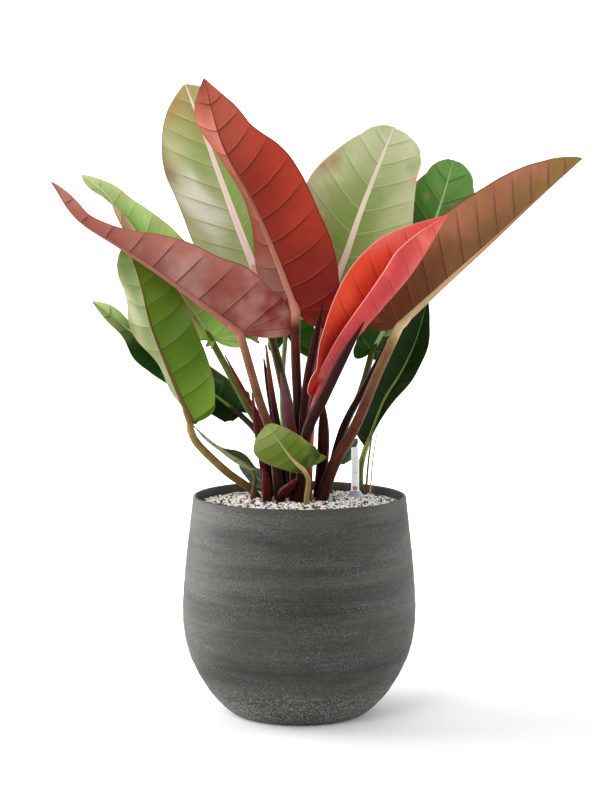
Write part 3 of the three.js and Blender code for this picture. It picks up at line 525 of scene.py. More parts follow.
class Shader:
    """A procedural material. Each call adds a node and returns its output."""

    def __init__(self, name):
        self.material = bpy.data.materials.new(name)
        self.material.use_nodes = True
        self.tree = self.material.node_tree
        self.tree.nodes.clear()

    def node(self, kind, inputs=None, output=0, **settings):
        made = self.tree.nodes.new("ShaderNode" + kind)
        for key, value in settings.items():
            setattr(made, key, value)
        for key, value in (inputs or {}).items():
            if isinstance(value, bpy.types.NodeSocket):
                self.tree.links.new(value, made.inputs[key])
            else:
                made.inputs[key].default_value = value
        return made.outputs[output]

    def math(self, operation, *values):
        return self.node("Math", dict(enumerate(values)), operation=operation)

    def plus(self, one, other):
        return self.math("ADD", one, other)

    def minus(self, one, other):
        return self.math("SUBTRACT", one, other)

    def times(self, one, other):
        return self.math("MULTIPLY", one, other)

    def size(self, value):
        return self.math("ABSOLUTE", value)

    def step(self, value, low, high, start=0.0, end=1.0):
        """start below low and end above high, with a smooth change between them."""
        inputs = {"Value": value, "From Min": low, "From Max": high, "To Min": start, "To Max": end}
        return self.node("MapRange", inputs, interpolation_type="SMOOTHSTEP")

    def vary(self, noise, start, end):
        """start where the noise is low and end where it is high."""
        return self.step(noise, 0.3, 0.7, start, end)

    def mix(self, share, one, other):
        return self.node("Mix", {0: share, 6: one, 7: other}, 2, data_type="RGBA")

    def brighten(self, colour, value):
        return self.node("HueSaturation", {"Color": colour, "Value": value})

    def split(self, vector):
        x = self.node("SeparateXYZ", {0: vector})
        return [x.node.outputs[k] for k in range(3)]

    def join(self, x, y, z=0.0):
        return self.node("CombineXYZ", {0: x, 1: y, 2: z})

    def uv(self, name):
        """The two coordinates of a UV map."""
        return self.split(self.node("UVMap", uv_map=name))[:2]

    def point(self):
        return self.node("TexCoord", output=3)

    def moved(self, place, *offset):
        return self.node("Mapping", {"Vector": place, "Location": offset})

    def place(self, *scale):
        """The point on the object, with each direction scaled."""
        return self.node("Mapping", {"Vector": self.point(), "Scale": scale or (1, 1, 1)})

    def noise(self, place, scale=1.0, detail=2.0, roughness=0.5, distortion=0.0):
        inputs = {"Vector": place, "Scale": scale, "Detail": detail, "Roughness": roughness}
        return self.node("TexNoise", {**inputs, "Distortion": distortion})

    def cells(self, place, scale, output=0):
        """The distance to the nearest of many scattered points, or with output 1 that point's own colour."""
        return self.node("TexVoronoi", {"Vector": place, "Scale": scale}, output)

    def finish(self, colour, roughness, height=None, bump=0.3, depth=0.0005, **constants):
        """The finished material. Its bumps follow height, and constants set the surface's other inputs."""
        inputs = {"Base Color": colour, "Roughness": roughness}
        inputs.update({key.replace("_", " "): value for key, value in constants.items()})
        if height is not None:
            inputs["Normal"] = self.node("Bump", {"Height": height, "Strength": bump, "Distance": depth})
        output = self.tree.nodes.new("ShaderNodeOutputMaterial")
        self.tree.links.new(self.node("BsdfPrincipled", inputs), output.inputs["Surface"])
        return self.material


def blade_material(name, look, seed):
    """One face of a leaf, from its vein coordinate, its share from rib to margin, and its place."""
    s = Shader(name)
    vein_at, across = s.uv("Blade")
    along, rib_share = s.uv("Rib")
    out = s.size(across)
    here = s.moved(s.point(), seed, 0, 0)
    groove = rgb(look.groove)

    # body colour from the midrib to the margin, and towards the two ends
    cloud = s.noise(here, 26, 3)
    reach = s.plus(out, s.times(s.minus(cloud, 0.5), 0.7))
    colour = s.mix(s.step(reach, 0.1, 0.95), rgb(look.inner), rgb(look.outer))
    if look.base:
        colour = s.mix(s.step(along, 0.34, 0.0), colour, rgb(look.base))
    if look.tip:
        colour = s.mix(s.step(along, look.tip_from, 0.95), colour, rgb(look.tip))
    # the left half's tint: partly its own colour, partly painted light and shade for the way that half of
    # the folded leaf faces the light
    if look.left:
        tint, share, tint_at_tip = look.left
        left = s.mix(s.step(along, 0.45, 0.85), rgb(tint), rgb(tint_at_tip))
        colour = s.mix(s.step(across, -0.005, -0.02, 0.0, share), colour, left)
    for number, (patch, scale, cover, *place) in enumerate(look.patches):
        spread = s.plus(s.times(out, 0.5), 0.5)
        spots = s.noise(s.moved(here, 3.1 * number, 1.7, 0), scale, 3, 0.55)
        mask = s.step(spots, 0.62 - 0.35 * cover, 0.84 - 0.3 * cover, 0.0, 0.8)
        if place:
            up, over, far = place
            gap = s.plus(s.size(s.minus(along, up)), s.times(s.size(s.minus(across, over)), 0.5))
            mask = s.times(mask, s.step(gap, far, 0.3 * far))
        colour = s.mix(s.times(mask, spread), colour, rgb(patch))

    # fine streaks that run with the side veins, and painted shade and light across the strip between each
    # two veins, lighter beside one vein and darker towards the next
    streaks = s.noise(s.join(s.times(vein_at, 13), s.times(out, 2.2), seed), 1, 4, 0.6)
    colour = s.brighten(colour, s.vary(streaks, 0.94, 1.05))
    shading = {"To Min": 1 + 0.4 * look.panels, "To Max": 1 - 0.6 * look.panels}
    colour = s.brighten(colour, s.node("MapRange", {"Value": s.math("FRACT", vein_at), **shading}))

    # side veins, drawn with painted light and shade in place of their relief: a fine painted highlight line,
    # with a painted shadow line and a soft painted shade on the side towards the stalk
    nearest = s.minus(vein_at, s.math("ROUND", vein_at))
    beside = s.plus(nearest, s.times(s.minus(s.noise(here, 90, 2), 0.5), 0.03))
    fade = s.step(out, 1.0, 0.55)
    shade = s.times(s.step(beside, -0.2, -0.04), s.math("LESS_THAN", beside, 0.0))
    dark = s.step(s.size(s.plus(beside, 0.02)), 0.034, 0.012)
    light = s.step(s.size(s.minus(beside, 0.022)), 0.03, 0.008)
    vein = rgb(look.vein)
    for line, share, tint in ((shade, 0.25, groove), (dark, 0.8, groove), (light, look.vein_highlight_share, vein)):
        colour = s.mix(s.times(s.times(line, fade), share), colour, tint)
    small = s.math("PINGPONG", s.times(vein_at, 4), 0.5)
    colour = s.mix(s.times(s.step(small, 0.05, 0.01), s.step(out, 0.8, 0.1, 0.0, 0.1)), colour, vein)

    # the margin's line and the midrib
    colour = s.mix(s.step(out, 0.968, 0.99, 0.0, 0.85), colour, rgb(look.edge))
    rib = s.mix(s.step(along, 0.0, 0.8), rgb(look.rib_base), rgb(look.rib_tip))
    fibres = s.noise(s.join(s.times(rib_share, 5), s.times(along, 3), seed), 1, 3)
    rib = s.brighten(rib, s.vary(fibres, 0.86, 1.1))
    # painted shade in the crease beside the midrib, in the groove colour
    colour = s.mix(s.step(rib_share, 1.3, 1.0, 0.0, 0.35), colour, groove)
    colour = s.mix(s.step(rib_share, 1.0, 0.86), colour, rib)

    height = s.plus(s.times(streaks, 0.6), s.times(s.noise(here, 900, 2), 0.25))
    return s.finish(colour, s.vary(cloud, 0.5, 0.4), height, Specular_IOR_Level=0.12)


def stem_material(name, codes, seed, gloss=0.45, spots=True, end=None):
    """A stalk or sheath, with streaks and dark spots. codes are its foot, middle, top and streaks.

    Its darker foot is partly its own colour and partly painted shade where the stems crowd together above
    the granulate. On the sheaths the lighter streaks are painted highlights. end is the colour of the
    midrib that it runs out on."""
    foot, middle, top, streak = (rgb(code) for code in codes.split())
    s = Shader(name)
    around, along = s.uv("Stem")
    # darker towards the foot: partly the stem's own colour, partly painted shade where the stems crowd
    # together
    body = s.mix(s.step(along, 0.0, 0.5), foot, middle)
    body = s.mix(s.step(along, 0.5, 1.0), body, top)
    turn = s.times(around, 2 * math.pi)
    ring = s.join(s.math("COSINE", turn), s.math("SINE", turn), s.times(along, 1.3))
    lines = s.noise(s.moved(ring, seed, 0, 0), 3.4, 5, 0.62)
    # streaks: the stalks' own darker lines, and painted highlights on the sheaths
    colour = s.mix(s.step(lines, 0.48, 0.68, 0.0, 0.7), body, streak)
    cloud = s.noise(s.place(), 60 + seed, 3)
    colour = s.brighten(colour, s.vary(cloud, 0.8, 1.2))
    if spots:
        freckle = s.times(s.step(s.cells(s.place(1, 1, 0.6), 160), 0.16, 0.08), s.step(cloud, 0.45, 0.55))
        colour = s.mix(s.times(freckle, 0.6), colour, rgb("2a1410"))
    if end:
        colour = s.mix(s.step(along, 0.9, 1.0), colour, rgb(end))
    return s.finish(colour, s.vary(cloud, gloss, gloss - 0.12), lines, 0.5, 0.0006, Specular_IOR_Level=0.1)


def ceramic_material():
    """Matte charcoal ceramic with faint brushed bands, light speckles, a few pits and a rougher foot."""
    s = Shader("ceramic")
    z = s.split(s.point())[2]
    wide = s.noise(s.place(4, 4, 17), 1, 4, 0.6, 0.5)
    bands = s.noise(s.place(2, 2, 80), 1, 3, 0.55, 0.2)
    brushed = s.noise(s.place(60, 60, 620), 1, 4, 0.7)
    colour = s.mix(s.step(wide, 0.34, 0.66), rgb("2d2d27"), rgb("403f39"))
    colour = s.brighten(colour, s.step(bands, 0.34, 0.66, 0.74, 1.2))
    colour = s.brighten(colour, s.step(brushed, 0.32, 0.68, 0.8, 1.18))
    grain = s.noise(s.place(1, 1, 0.7), 950, 2, 0.6)
    colour = s.brighten(colour, s.step(grain, 0.3, 0.5, 0.8, 1.0))
    worn = s.step(s.noise(s.place(9, 9, 34), 1, 4, 0.65), 0.42, 0.66, 0.2, 0.6)
    foot = s.times(s.step(z, 0.066, 0.022), s.step(s.noise(s.place(), 330, 3, 0.7), 0.47, 0.6))
    lip = s.step(z, 0.2895, 0.2915)
    pits = s.times(s.step(s.cells(s.place(), 70), 0.07, 0.02), s.step(wide, 0.5, 0.62))
    layers = (
        (s.step(grain, 0.5, 0.7), worn, "8a8b8c"),
        (foot, 0.75, "84847e"),
        (lip, 0.3, "34352c"),
        # the pits are painted darker: painted shade in the small hollows
        (pits, 0.7, "1c1c18"),
    )
    for layer, share, code in layers:
        colour = s.mix(s.times(layer, share), colour, rgb(code))
    coarse = s.noise(s.place(), 300, 4, 0.7)
    height = s.plus(s.times(brushed, 0.4), s.times(coarse, 0.6))
    height = s.minus(height, s.times(pits, 1.5))
    return s.finish(colour, s.vary(wide, 0.7, 0.6), height, 0.5, Specular_IOR_Level=0.34)


def grain_material(name, light, dark, seed):
    """One kind of mineral grain, each a little different."""
    s = Shader(name)
    cloud = s.noise(s.place(), 210 + seed, 2)
    colour = s.mix(s.step(cloud, 0.35, 0.65), rgb(dark), rgb(light))
    pores = s.noise(s.place(), 1900, 3, 0.7)
    colour = s.brighten(colour, s.step(pores, 0.35, 0.65, 0.85, 1.08))
    return s.finish(colour, s.vary(pores, 0.95, 0.8), pores, 0.7, 0.0003, Specular_IOR_Level=0.2)


def filling_material():
    """The granulate under the loose grains: the same mix of colours, in shade."""
    s = Shader("filling")
    kind = s.split(s.cells(s.place(), 340, 1))[0]
    colour = s.mix(s.vary(kind, 0.0, 1.0), rgb("5e4a42"), rgb("d8c8b8"))
    depth = s.cells(s.place(), 340)
    colour = s.brighten(colour, s.step(depth, 0.0, 0.7, 1.0, 0.5))
    return s.finish(colour, s.step(depth, 0.0, 0.6, 0.95, 0.85), depth, 0.8, 0.002, Specular_IOR_Level=0.15)


def root_ball_material():
    s = Shader("root_mat")
    threads = s.noise(s.place(1, 1, 0.4), 260, 5, 0.7, 1.5)
    colour = s.mix(s.step(threads, 0.45, 0.6), rgb("33221a"), rgb("8c6a4c"))
    return s.finish(colour, s.vary(threads, 0.95, 0.8), threads, 0.9, 0.003)


def crown_material():
    """The short stem's bark: brown, with old leaf scars and fibres."""
    s = Shader("crown_bark")
    fibres = s.noise(s.place(1, 1, 0.25), 420, 5, 0.7, 0.8)
    scars = s.noise(s.place(1, 1, 3), 70, 3, 0.6)
    colour = s.mix(s.step(fibres, 0.4, 0.65), rgb("3a1a12"), rgb("83583c"))
    colour = s.mix(s.step(scars, 0.55, 0.66, 0.0, 0.7), colour, rgb("a07850"))
    return s.finish(colour, s.vary(fibres, 0.9, 0.7), fibres, 0.9, 0.002)


def plastic_material(name, code, fine, roughness, **constants):
    """Moulded plastic with a faint unevenness."""
    s = Shader(name)
    cloud = s.noise(s.place(), fine, 3)
    colour = s.brighten(rgb(code), s.vary(cloud, 0.94, 1.04))
    return s.finish(colour, s.vary(cloud, roughness, roughness + 0.08), cloud, 0.15, 0.0002, **constants)


def glowing_scale_material():
    """The milky back of the sight tube, with plain yellow marks. It glows faintly, painted light that stands
    in for the light shining through the tube.
    """
    s = Shader("gauge_scale")
    x, _, z = s.split(s.point())
    cloud = s.noise(s.place(), 300, 2)
    colour = s.brighten(rgb("dfe0e2"), s.vary(cloud, 0.95, 1.03))
    narrow = s.math("LESS_THAN", s.size(s.minus(x, GAUGE["x"])), MARKS["half_width"])
    for height in MARKS["heights"]:
        low = s.math("LESS_THAN", s.size(s.minus(z, height)), MARKS["half_height"])
        colour = s.mix(s.times(low, narrow), colour, rgb("e2c23c"))
    # the faint glow is painted light, in place of the light that shines through the tube
    return s.finish(colour, s.vary(cloud, 0.3, 0.4), Specular_IOR_Level=0.4,
                    Emission_Color=colour, Emission_Strength=0.4)


def sweep_material():
    """The studio's floor, which gets lighter behind the object and glows white as a backdrop."""
    s = Shader("studio_sweep")
    y = s.split(s.point())[1]
    cloud = s.noise(s.place(), 2, 2)
    colour = s.brighten(rgb("f4f4f4"), s.vary(cloud, 0.995, 1.0))
    return s.finish(colour, s.vary(cloud, 0.9, 0.95), Specular_IOR_Level=0.1,
                    Emission_Color=(1, 1, 1, 1), Emission_Strength=s.step(y, 0.1, 2.4))


# Leaves

def side_points(leaf, side, sign, line, v):
    """Points on one side of a leaf, their outward directions, and the side's reach at each line.

    line is 0 at the stalk, 1 at the tip and -1 at the back of the lobe. v goes from 0 on the rib to 1 at
    the margin, with a row for each line."""
    t = np.maximum(line, 0)
    fan = np.maximum(-line, 0)
    last_step = 1 / (len(side.width) - 1)
    low, high, bow = leaf.sweep
    sweep = low + (high - low) * t

    def profile(at):
        end = np.clip((at - 1) / last_step + 1, 0, 1)
        round_end = np.sqrt(1 - end * end) - (1 - end)
        return smooth(side.width, at) + leaf.blunt * side.width[-2] * round_end

    # the width where each line meets the margin, found in a few steps
    length = length_of(leaf.rib)
    width = profile(t)
    for _ in range(6):
        width = (width + profile(t + (sweep + bow) * width / length)) / 2

    place, along, across, out = frame_at(leaf.rib, t)
    start = np.radians(smooth(side.turn, t))[:, None]
    bend = np.radians(side.curl)
    end = start + bend * v
    sideways = (np.sin(end) - np.sin(start)) / bend if bend else v * np.cos(start)
    backward = (np.cos(start) - np.cos(end)) / bend if bend else v * np.sin(start)
    grown = smooth_step(fan, 0, LOBE["grown_at"])
    closing = np.maximum(fan - LOBE["grown_at"], 0) / (1 - LOBE["grown_at"])
    ray = (width + (side.lobe - width) * grown) * (1 - LOBE["close"] * closing ** 2)
    angle = np.radians(side.spread * fan)
    reach = (ray * np.cos(angle))[:, None]
    forward = (width * (1 - fan))[:, None] * (sweep[:, None] * v + bow * v * v)
    forward = forward - (ray * np.sin(angle))[:, None] * v
    height, count = leaf.wave
    swell = (np.sin(2 * math.pi * count * line + sign) * (1 - t * t))[:, None]
    outward = out[:, None] * np.cos(end)[..., None] + sign * across[:, None] * np.sin(end)[..., None]
    points = (place[:, None]
              + sign * across[:, None] * (reach * sideways)[..., None]
              - out[:, None] * (reach * backward)[..., None]
              + along[:, None] * forward[..., None]
              + outward * (height * v * v * swell)[..., None])
    return points, outward, ray


def blade_lines(veins):
    """Lines from the back of the lobe, at -1, to the tip, at 1, closer together beside the side veins."""
    on_rib = (np.arange(veins)[:, None] + BESIDE_VEIN).ravel() / veins
    in_fan = -(np.arange(FAN_VEINS)[:, None] + BESIDE_VEIN).ravel() / FAN_VEINS
    return np.concatenate([[-1.0], np.sort(in_fan)[:-1], on_rib, [1.0]])


def blade_steps(rib_share, steps):
    """Shares from the rib to the margin, for each line: a few across half the rib, then even ones."""
    near = ACROSS_RIB[None] * rib_share[:, None]
    far = near[:, -1:] + (1 - near[:, -1:]) * (np.arange(1, steps + 1) / steps)
    return np.concatenate([near, far], axis=1)


def blade(name, leaf, steps, seed):
    """A leaf: a front and a back skin over both sides, with ribs, veins and the swelling between them."""
    line = blade_lines(leaf.veins)
    rib_width = leaf.rib_width * (1 - np.maximum(line, 0)) ** RIB_TAPER[leaf.faces] + RIB_AT_TIP
    vein_at = line * np.where(line > 0, leaf.veins, FAN_VEINS)
    spacing = length_of(leaf.rib) / leaf.veins
    off_vein = ((vein_at + 0.5) % 1 - 0.5) * spacing
    upper = 1 if leaf.faces == "upper" else -1
    size = min(1, spacing / FULL_RELIEF_SPACING) * leaf.relief
    sides = []
    for sign, side in ((-1, leaf.left), (1, leaf.right)):
        _, _, ray = side_points(leaf, side, sign, line, np.zeros((len(line), 1)))
        share = np.minimum(rib_width / np.maximum(ray, 1e-5), RIB_SHARE_AT_MOST)
        v = blade_steps(share, steps * 2 if side.curl else steps)
        points, outward, _ = side_points(leaf, side, sign, line, v)
        sides.append((sign, v, points, outward, v / share[:, None]))
    common = unit(sides[0][3][:, 0] + sides[1][3][:, 0])
    chunks, faces, wears, uv_blade, uv_rib = [], [], [], [], []
    start = 0

    def along_veins(width):
        return np.exp(-(off_vein / (width * size)) ** 2)[:, None]

    for sign, v, points, outward, rib_share in sides:
        own = smooth_step(rib_share, 0, 1.2)[..., None]
        outward = unit(common[:, None] * (1 - own) + outward * own)
        fade = (1 - v) ** 0.6
        window = np.sin(math.pi * np.clip(v, 0, 1) ** 0.8) * smooth_step(rib_share, 1, 2.2)
        swell = np.sin(math.pi * vein_at)[:, None] ** 2 * window
        groove = along_veins(RELIEF["groove_width"]) * fade * smooth_step(rib_share, 0.8, 1.6)
        ridge = along_veins(RELIEF["ridge_width"]) * fade * smooth_step(rib_share, 0.8, 1.2)
        relief = size * (RELIEF["swell"] * swell - RELIEF["groove"] * groove)
        dome = np.sqrt(np.clip(1 - rib_share ** 2, 0, 1)) * rib_width[:, None]
        under = RIB_HEIGHT["under"] * dome + RELIEF["ridge"] * size * ridge
        rows, columns = v.shape
        starts = {}
        for skin in (1, -1):
            extra = RIB_HEIGHT["upper"] * dome if skin == upper else under
            offset = skin * (MARGIN_HALF_THICKNESS + extra) + upper * relief
            chunks.append((points + outward * offset[..., None]).reshape(-1, 3))
            uv_blade.append(np.stack([vein_at[:, None] + 0 * v, sign * v], axis=2).reshape(-1, 2))
            uv_rib.append(np.stack([line[:, None] + 0 * v, rib_share], axis=2).reshape(-1, 2))
            quads = grid_faces(rows, columns, start, flip=(sign * skin < 0))
            faces.append(quads)
            wears.append(np.full(len(quads), 0 if skin == upper else 1))
            starts[skin] = start
            start += rows * columns
        margin = np.arange(rows - 1) * columns + columns - 1
        notch = np.arange(columns - 1)
        strips = np.concatenate([
            np.stack([starts[1] + edge, starts[-1] + edge, starts[-1] + edge + gap, starts[1] + edge + gap],
                     axis=1)
            for edge, gap in ((margin, columns), (notch, 1))])
        faces.append(strips if sign > 0 else strips[:, ::-1])
        wears.append(np.full(len(strips), 1))
    materials = [blade_material(f"{name}_{key}", LOOKS[name][key], seed) for key in ("upper", "under")]
    uvs = {"Blade": np.concatenate(uv_blade), "Rib": np.concatenate(uv_rib)}
    piece(f"Blade.{name}", f"leaf_{name}", np.concatenate(chunks), np.concatenate(faces),
          materials, uvs, np.concatenate(wears), sharp=40)


# Stems

def stem(name, node, path, radii, material, sides=28, rings=9, thickness=1.0, seam=0.0, ribs=0.015,
         onto=None):
    """A closed stem along a path. seam is how far a wrap's edge stands off the stem, as a share of it.

    onto is a leaf whose midrib the stem runs out on, getting thinner."""
    t = np.linspace(0, 1, (len(path) - 1) * rings + 1)
    rows_of = frame_at(path, t)
    girth = smooth(radii, t)
    if onto:
        past = np.linspace(0, 1, STALK_END["rows"] + 1)[1:]
        taper = frame_at(onto.rib, past * STALK_END["length"] / length_of(onto.rib))
        back = -1 if onto.faces == "upper" else 1
        taper[0][:] += back * STALK_END[onto.faces] * radii[-1] * past[:, None] * taper[3]
        rows_of = [np.concatenate(pair) for pair in zip(rows_of, taper)]
        girth = np.concatenate([girth, radii[-1] * np.sqrt(1 - STALK_END["thins_by"] * past ** 2)])
        t = np.concatenate([t, 1 + STALK_END["on_map"] * past])
    place, _, across, out = rows_of
    turn = np.linspace(0, 1, sides + 1)
    angle = 2 * math.pi * turn - 0.6 * math.pi
    radius = girth[:, None] * (1 + seam * (turn - 0.5) + ribs * np.sin(9 * angle + 2 * t[:, None]))
    points = (place[:, None]
              + across[:, None] * (radius * np.cos(angle))[..., None]
              + out[:, None] * (radius * thickness * np.sin(angle))[..., None])
    if not seam:
        points[:, -1] = points[:, 0]
    rows, columns = points.shape[:2]
    pairs = np.stack(np.broadcast_arrays(turn, t[:, None]), axis=2).reshape(-1, 2)
    faces = grid_faces(rows, columns).tolist()
    if seam:
        close = np.arange(rows - 1) * columns
        faces += np.stack([close + sides, close, close + columns, close + columns + sides], axis=1).tolist()
    faces += [list(range(sides, -1, -1)), list(range((rows - 1) * columns, rows * columns))]
    piece(name, node, points.reshape(-1, 3), faces, [material], {"Stem": pairs})


def plant():
    """The leaves on their stalks, the sheaths, the aerial roots, and the hidden stem and root ball."""
    for number, (name, leaf) in enumerate(LEAVES.items()):
        look = LOOKS[name]
        kind = "small" if length_of(leaf.rib) < SMALL_LEAF else "large"
        blade(name, leaf, STEPS_ACROSS[kind], 2.3 * number)
        rib_shows = leaf.faces == "under" or leaf.rib_width > WIDE_RIB
        end = look["under"].rib_base if rib_shows else None
        material = stem_material(f"stalk_{name}_skin", look["stalk"], 1.7 * number, end=end)
        stem(f"Stalk.{name}", f"stalk_{name}", leaf.stalk, leaf.radii, material, onto=leaf)
    for number, (name, (path, radii, codes)) in enumerate(SHEATHS.items()):
        material = stem_material(f"sheath_{name}_skin", codes, 40 + 2.1 * number, 0.4, False)
        stem(f"Sheath.{name}", f"sheath_{name}", rooted(path), metres(radii), material,
             thickness=SHEATH_THICKNESS, seam=0.22, ribs=0.02)
    for name, (path, radii, codes) in AERIAL_ROOTS.items():
        material = stem_material(f"root_{name}_skin", codes, 70, 0.7, False)
        stem(f"Root.{name}", f"aerial_root_{name}", rooted(path), metres(radii), material,
             sides=12, rings=14, ribs=0.06)
    dress("crown_stem", crown_material())
    dress("root_ball", root_ball_material())


# Planter and granulate

def planter():
    """The planter, finely turned, with the slight unevenness of its brushed bands."""
    outside = smooth(POT_OUTSIDE, np.linspace(0, 1, POT["rows"]))
    slope = unit(np.gradient(outside, axis=0))
    rim, rim_height = POT_OUTSIDE[-1]
    thin = smooth_step(outside[:, 1:], POT["thins_from"], rim_height)
    wall = POT["wall"] + (POT["lip_wall"] - POT["wall"]) * thin
    inside = outside + wall * np.stack([-slope[:, 1], slope[:, 0]], axis=1)
    inside = inside[inside[:, 1] > POT["floor"]][::-2]
    turn = np.linspace(0, math.pi, POT["lip_rows"])[1:-1]
    lip_half = POT["lip_wall"] / 2
    lip_height = rim_height + (POT["height"] - rim_height) * np.sin(turn) ** 0.8
    lip = np.stack([rim - lip_half + lip_half * np.cos(turn), lip_height], axis=1)
    floor = [(inside[-1, 0] - POT["floor_bevel"], POT["floor"]), (0, POT["floor"])]
    outline = np.concatenate([[(0, 0)], outside, lip, inside, floor])

    def bend(points, angle):
        height = points[:, 1:]
        bands = BANDS["depth"] * np.sin(BANDS["pitch"] * height + 1.3 * np.sin(angle))
        bands = bands + BANDS["fine_depth"] * np.sin(BANDS["fine_pitch"] * height + np.sin(2 * angle + 1))
        oval = SWAY["oval"] * np.sin(2 * angle + 9 * height)
        sway = oval + SWAY["three_sided"] * np.sin(3 * angle - 14 * height)
        reached = (points[:, :1] > SWAY["from_radius"]) & (height > SWAY["from_height"])
        return np.where(reached, bands + sway, 0)

    points, faces = lathe(outline, POT["sides"], bend)
    piece("Planter", "pot", points, faces, [ceramic_material()], sharp=50)


def fill_height(radius):
    return FILL["edge"] + (FILL["centre"] - FILL["edge"]) * (1 - (radius / FILL["radius"]) ** 2)


def grain_places():
    """The middles of the loose grains, in a jittered pattern on the granulate, clear of the gauge."""
    gap = GRAIN["spacing"]
    columns = np.arange(-FILL["radius"], FILL["radius"], gap)
    rows = np.arange(-FILL["radius"], FILL["radius"], gap * math.sqrt(3) / 2)
    x, y = np.meshgrid(columns, rows)
    x = x + (np.arange(len(rows)) % 2)[:, None] * gap / 2
    jitter = rng.uniform(-GRAIN["jitter"], GRAIN["jitter"], (x.size, 2))
    places = np.stack([x.ravel(), y.ravel()], axis=1) + jitter * gap
    from_gauge = np.hypot(places[:, 0] - GAUGE["x"], places[:, 1] - GAUGE["y"]) - COLLAR["radius"]
    inside = np.hypot(*places.T) < FILL["radius"] - GRAIN["from_wall"]
    places = places[inside & (from_gauge >= GRAIN["from_gauge"])]
    centres = np.column_stack([places, fill_height(np.hypot(*places.T))])
    centres[:, 2] += rng.uniform(0, 1.2, len(places)) * GRAIN["lift"]
    return centres


def grains():
    """Loose mineral grains on top of the granulate, each an uneven twenty-sided stone."""
    centres = grain_places()
    count = len(centres)
    golden = (1 + math.sqrt(5)) / 2
    corners = unit(np.array([
        (-1, golden, 0), (1, golden, 0), (-1, -golden, 0), (1, -golden, 0),
        (0, -1, golden), (0, 1, golden), (0, -1, -golden), (0, 1, -golden),
        (golden, 0, -1), (golden, 0, 1), (-golden, 0, -1), (-golden, 0, 1),
    ], float))
    sides = np.array([
        (0, 11, 5), (0, 5, 1), (0, 1, 7), (0, 7, 10), (0, 10, 11), (1, 5, 9), (5, 11, 4),
        (11, 10, 2), (10, 7, 6), (7, 1, 8), (3, 9, 4), (3, 4, 2), (3, 2, 6), (3, 6, 8),
        (3, 8, 9), (4, 9, 5), (2, 4, 11), (6, 2, 10), (8, 6, 7), (9, 8, 1),
    ])
    w, i, j, k = unit(rng.normal(size=(count, 4))).T
    rotation = np.stack([
        1 - 2 * (j * j + k * k), 2 * (i * j - k * w), 2 * (i * k + j * w),
        2 * (i * j + k * w), 1 - 2 * (i * i + k * k), 2 * (j * k - i * w),
        2 * (i * k - j * w), 2 * (j * k + i * w), 1 - 2 * (i * i + j * j),
    ], axis=1).reshape(-1, 3, 3)
    stretch = rng.uniform(*GRAIN["stretch"], (count, 1, 3)) * rng.uniform(*GRAIN["size"], (count, 1, 1))
    rough = rng.uniform(*GRAIN["rough"], (count, 12, 1))
    stones = corners[None] * rough * stretch * GRAIN["radius"]
    stones = np.einsum("nij,nkj->nki", rotation, stones) + centres[:, None]
    edges = np.cumsum([0] + [share for *_, share in GRAIN_KINDS.values()])
    draw = rng.uniform(0, 1, count)
    for number, (name, (light, dark, _)) in enumerate(GRAIN_KINDS.items()):
        chosen = stones[(draw >= edges[number]) & (draw < edges[number + 1])]
        faces = (np.arange(len(chosen))[:, None, None] * 12 + sides[None]).reshape(-1, 3)
        material = grain_material(f"grain_{name}", light, dark, 9 * number)
        piece(f"Grains.{name}", None, chosen.reshape(-1, 3), faces, [material], sharp=25)
    dress("granulate", filling_material())


# Water gauge

def gauge_piece(name, outline, materials, second=None, sides=GAUGE["sides"], body="planting"):
    """A turned piece of the gauge. second says where it wears its second material."""
    points, faces = lathe(outline, sides)
    middle = points[faces].mean(axis=1)
    wears = None if second is None else second(middle).astype(int)
    points = points + np.array([GAUGE["x"], GAUGE["y"], 0])
    node = f"gauge_{name}"
    piece(f"Gauge.{name}", node, points, faces, materials, wears=wears, body=body)


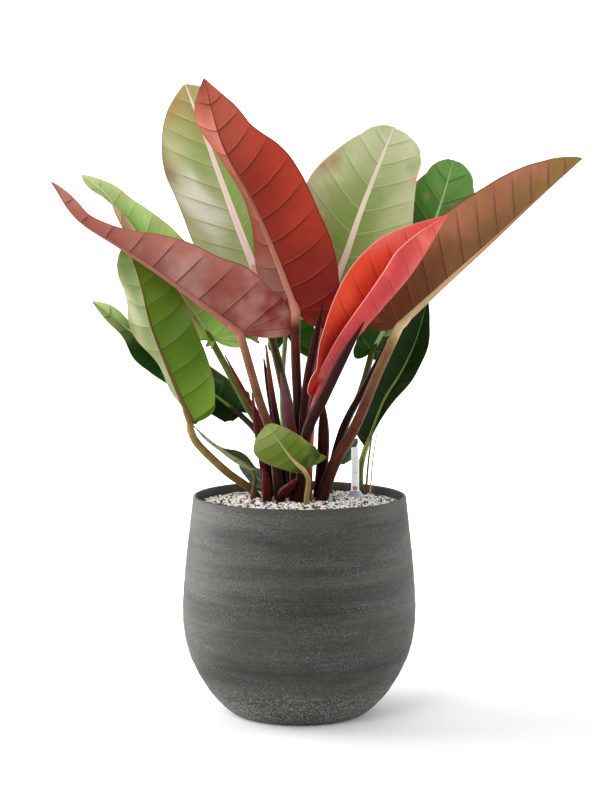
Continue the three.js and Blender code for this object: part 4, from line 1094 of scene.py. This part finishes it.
def gauge():
    clear = plastic_material("gauge_clear", "f4f4f8", 200, 0.12, Alpha=0.12)
    radius, wall, foot, top, bevel = TUBE.values()
    outline = [
        (radius - wall, foot), (radius, foot), (radius, top - bevel),
        (radius - 0.3 * bevel, top - 0.3 * bevel), (radius - bevel, top), (0, top),
        (0, top - wall), (radius - wall - bevel, top - wall), (radius - wall, top - wall - bevel),
        (radius - wall, foot),
    ]
    outline = np.concatenate([np.linspace(a, b, 8)[:-1] if abs(a[1] - b[1]) > 0.05 else [a]
                              for a, b in zip(outline, outline[1:])] + [[outline[-1]]])
    gauge_piece("tube", outline, [clear, glowing_scale_material()],
                lambda middle: (middle[:, 1] > -0.0006) & (middle[:, 2] < top - wall))

    lilac = plastic_material("gauge_lilac", "bdbac9", 150, 0.2, Transmission_Weight=0.25,
                             Specular_IOR_Level=0.5)
    outer, low, hole, high, edge, small = COLLAR.values()
    dome = [(outer - small - (outer - hole - 4 * small) * s ** 0.62, low + edge + (high - low - edge) * s)
            for s in np.linspace(0, 1, 9)]
    gauge_piece("collar", [
        (hole, low), (outer - small, low), (outer, low + small), (outer, low + 0.0011), *dome,
        (hole + 0.0006, high), (hole, high - small), (hole, low),
    ], [lilac])

    red = plastic_material("float_red", "d8401e", 250, 0.32)
    white = plastic_material("float_white", "e4e2dc", 250, 0.45)
    radius, foot, height, rod, sides = FLOAT.values()
    tip, length, tip_top = TIP.values()
    end = foot + height
    tip_foot = tip_top - length
    gauge_piece("float", [
        (0, foot), (radius - 0.002, foot), (radius - 0.0006, foot + 0.0006), (radius, foot + 0.002),
        (radius, end - radius), (radius - 0.0012, end - 0.0035), (rod, end), (rod, tip_foot - 0.001),
        (tip - 0.0004, tip_foot), (tip, tip_foot + 0.0006), (tip, tip_top - 0.001),
        (tip - 0.0003, tip_top - 0.0003), (tip - 0.001, tip_top), (0, tip_top),
    ], [white, red], lambda middle: middle[:, 2] > tip_foot - 0.0012, sides, "float")
    dress("gauge_well", plastic_material("gauge_housing", "d6d6d2", 120, 0.5))


# Studio

def studio():
    """A pale floor that runs up into a lit white backdrop, and soft light from the left and the right."""
    wide, front, bend_from, radius, top = 14, -9, 4.4, 1.6, 12
    turn = np.linspace(0, math.pi / 2, 13)
    profile = [(front, 0), (0, 0)]
    profile += [(bend_from + radius * math.sin(a), radius - radius * math.cos(a)) for a in turn]
    profile.append((bend_from + radius, top))
    points = [(x, y, z) for y, z in profile for x in (-wide, wide)]
    mesh = bpy.data.meshes.new("Studio.sweep")
    mesh.from_pydata(points, [], grid_faces(len(profile), 2, flip=True).tolist())
    mesh.materials.append(sweep_material())
    mesh.shade_smooth()
    sweep = bpy.data.objects.new("Studio.sweep", mesh)
    bpy.context.collection.objects.link(sweep)

    world = bpy.data.worlds.new("studio")
    world.use_nodes = True
    background = world.node_tree.nodes["Background"]
    background.inputs["Color"].default_value = (1, 1, 1, 1)
    background.inputs["Strength"].default_value = 0.42
    bpy.context.scene.world = world

    # each lamp's place, width and power
    lamps = {
        "key": ((-1.2, -2.6, 2.2), 1.6, 48),
        "left": ((-2.2, 0.5, 0.8), 1.9, 100),
        "right": ((2.3, 0.3, 0.8), 1.6, 32),
    }
    aimed_at = np.array([0, 0, 0.45])
    for name, (place, width, power) in lamps.items():
        data = bpy.data.lights.new(f"Studio.{name}", "AREA")
        data.energy = power
        data.shape = "SQUARE"
        data.size = width
        lamp = bpy.data.objects.new(f"Studio.{name}", data)
        lamp.location = place
        x, y, z = aimed_at - np.array(place)
        lamp.rotation_euler = (math.atan2(math.hypot(x, y), -z), 0, math.atan2(y, x) - math.pi / 2)
        bpy.context.collection.objects.link(lamp)

    looking_down = 5.43
    data = bpy.data.cameras.new("Studio.camera")
    data.lens = 98.1
    camera = bpy.data.objects.new("Studio.camera", data)
    camera.location = (0.0008, -2.9, 0.697)
    camera.rotation_euler = (math.radians(90 - looking_down), 0, 0)
    bpy.context.collection.objects.link(camera)
    bpy.context.scene.camera = camera
    bpy.context.scene.view_settings.view_transform = "Standard"


studio()
planter()
grains()
gauge()
plant()
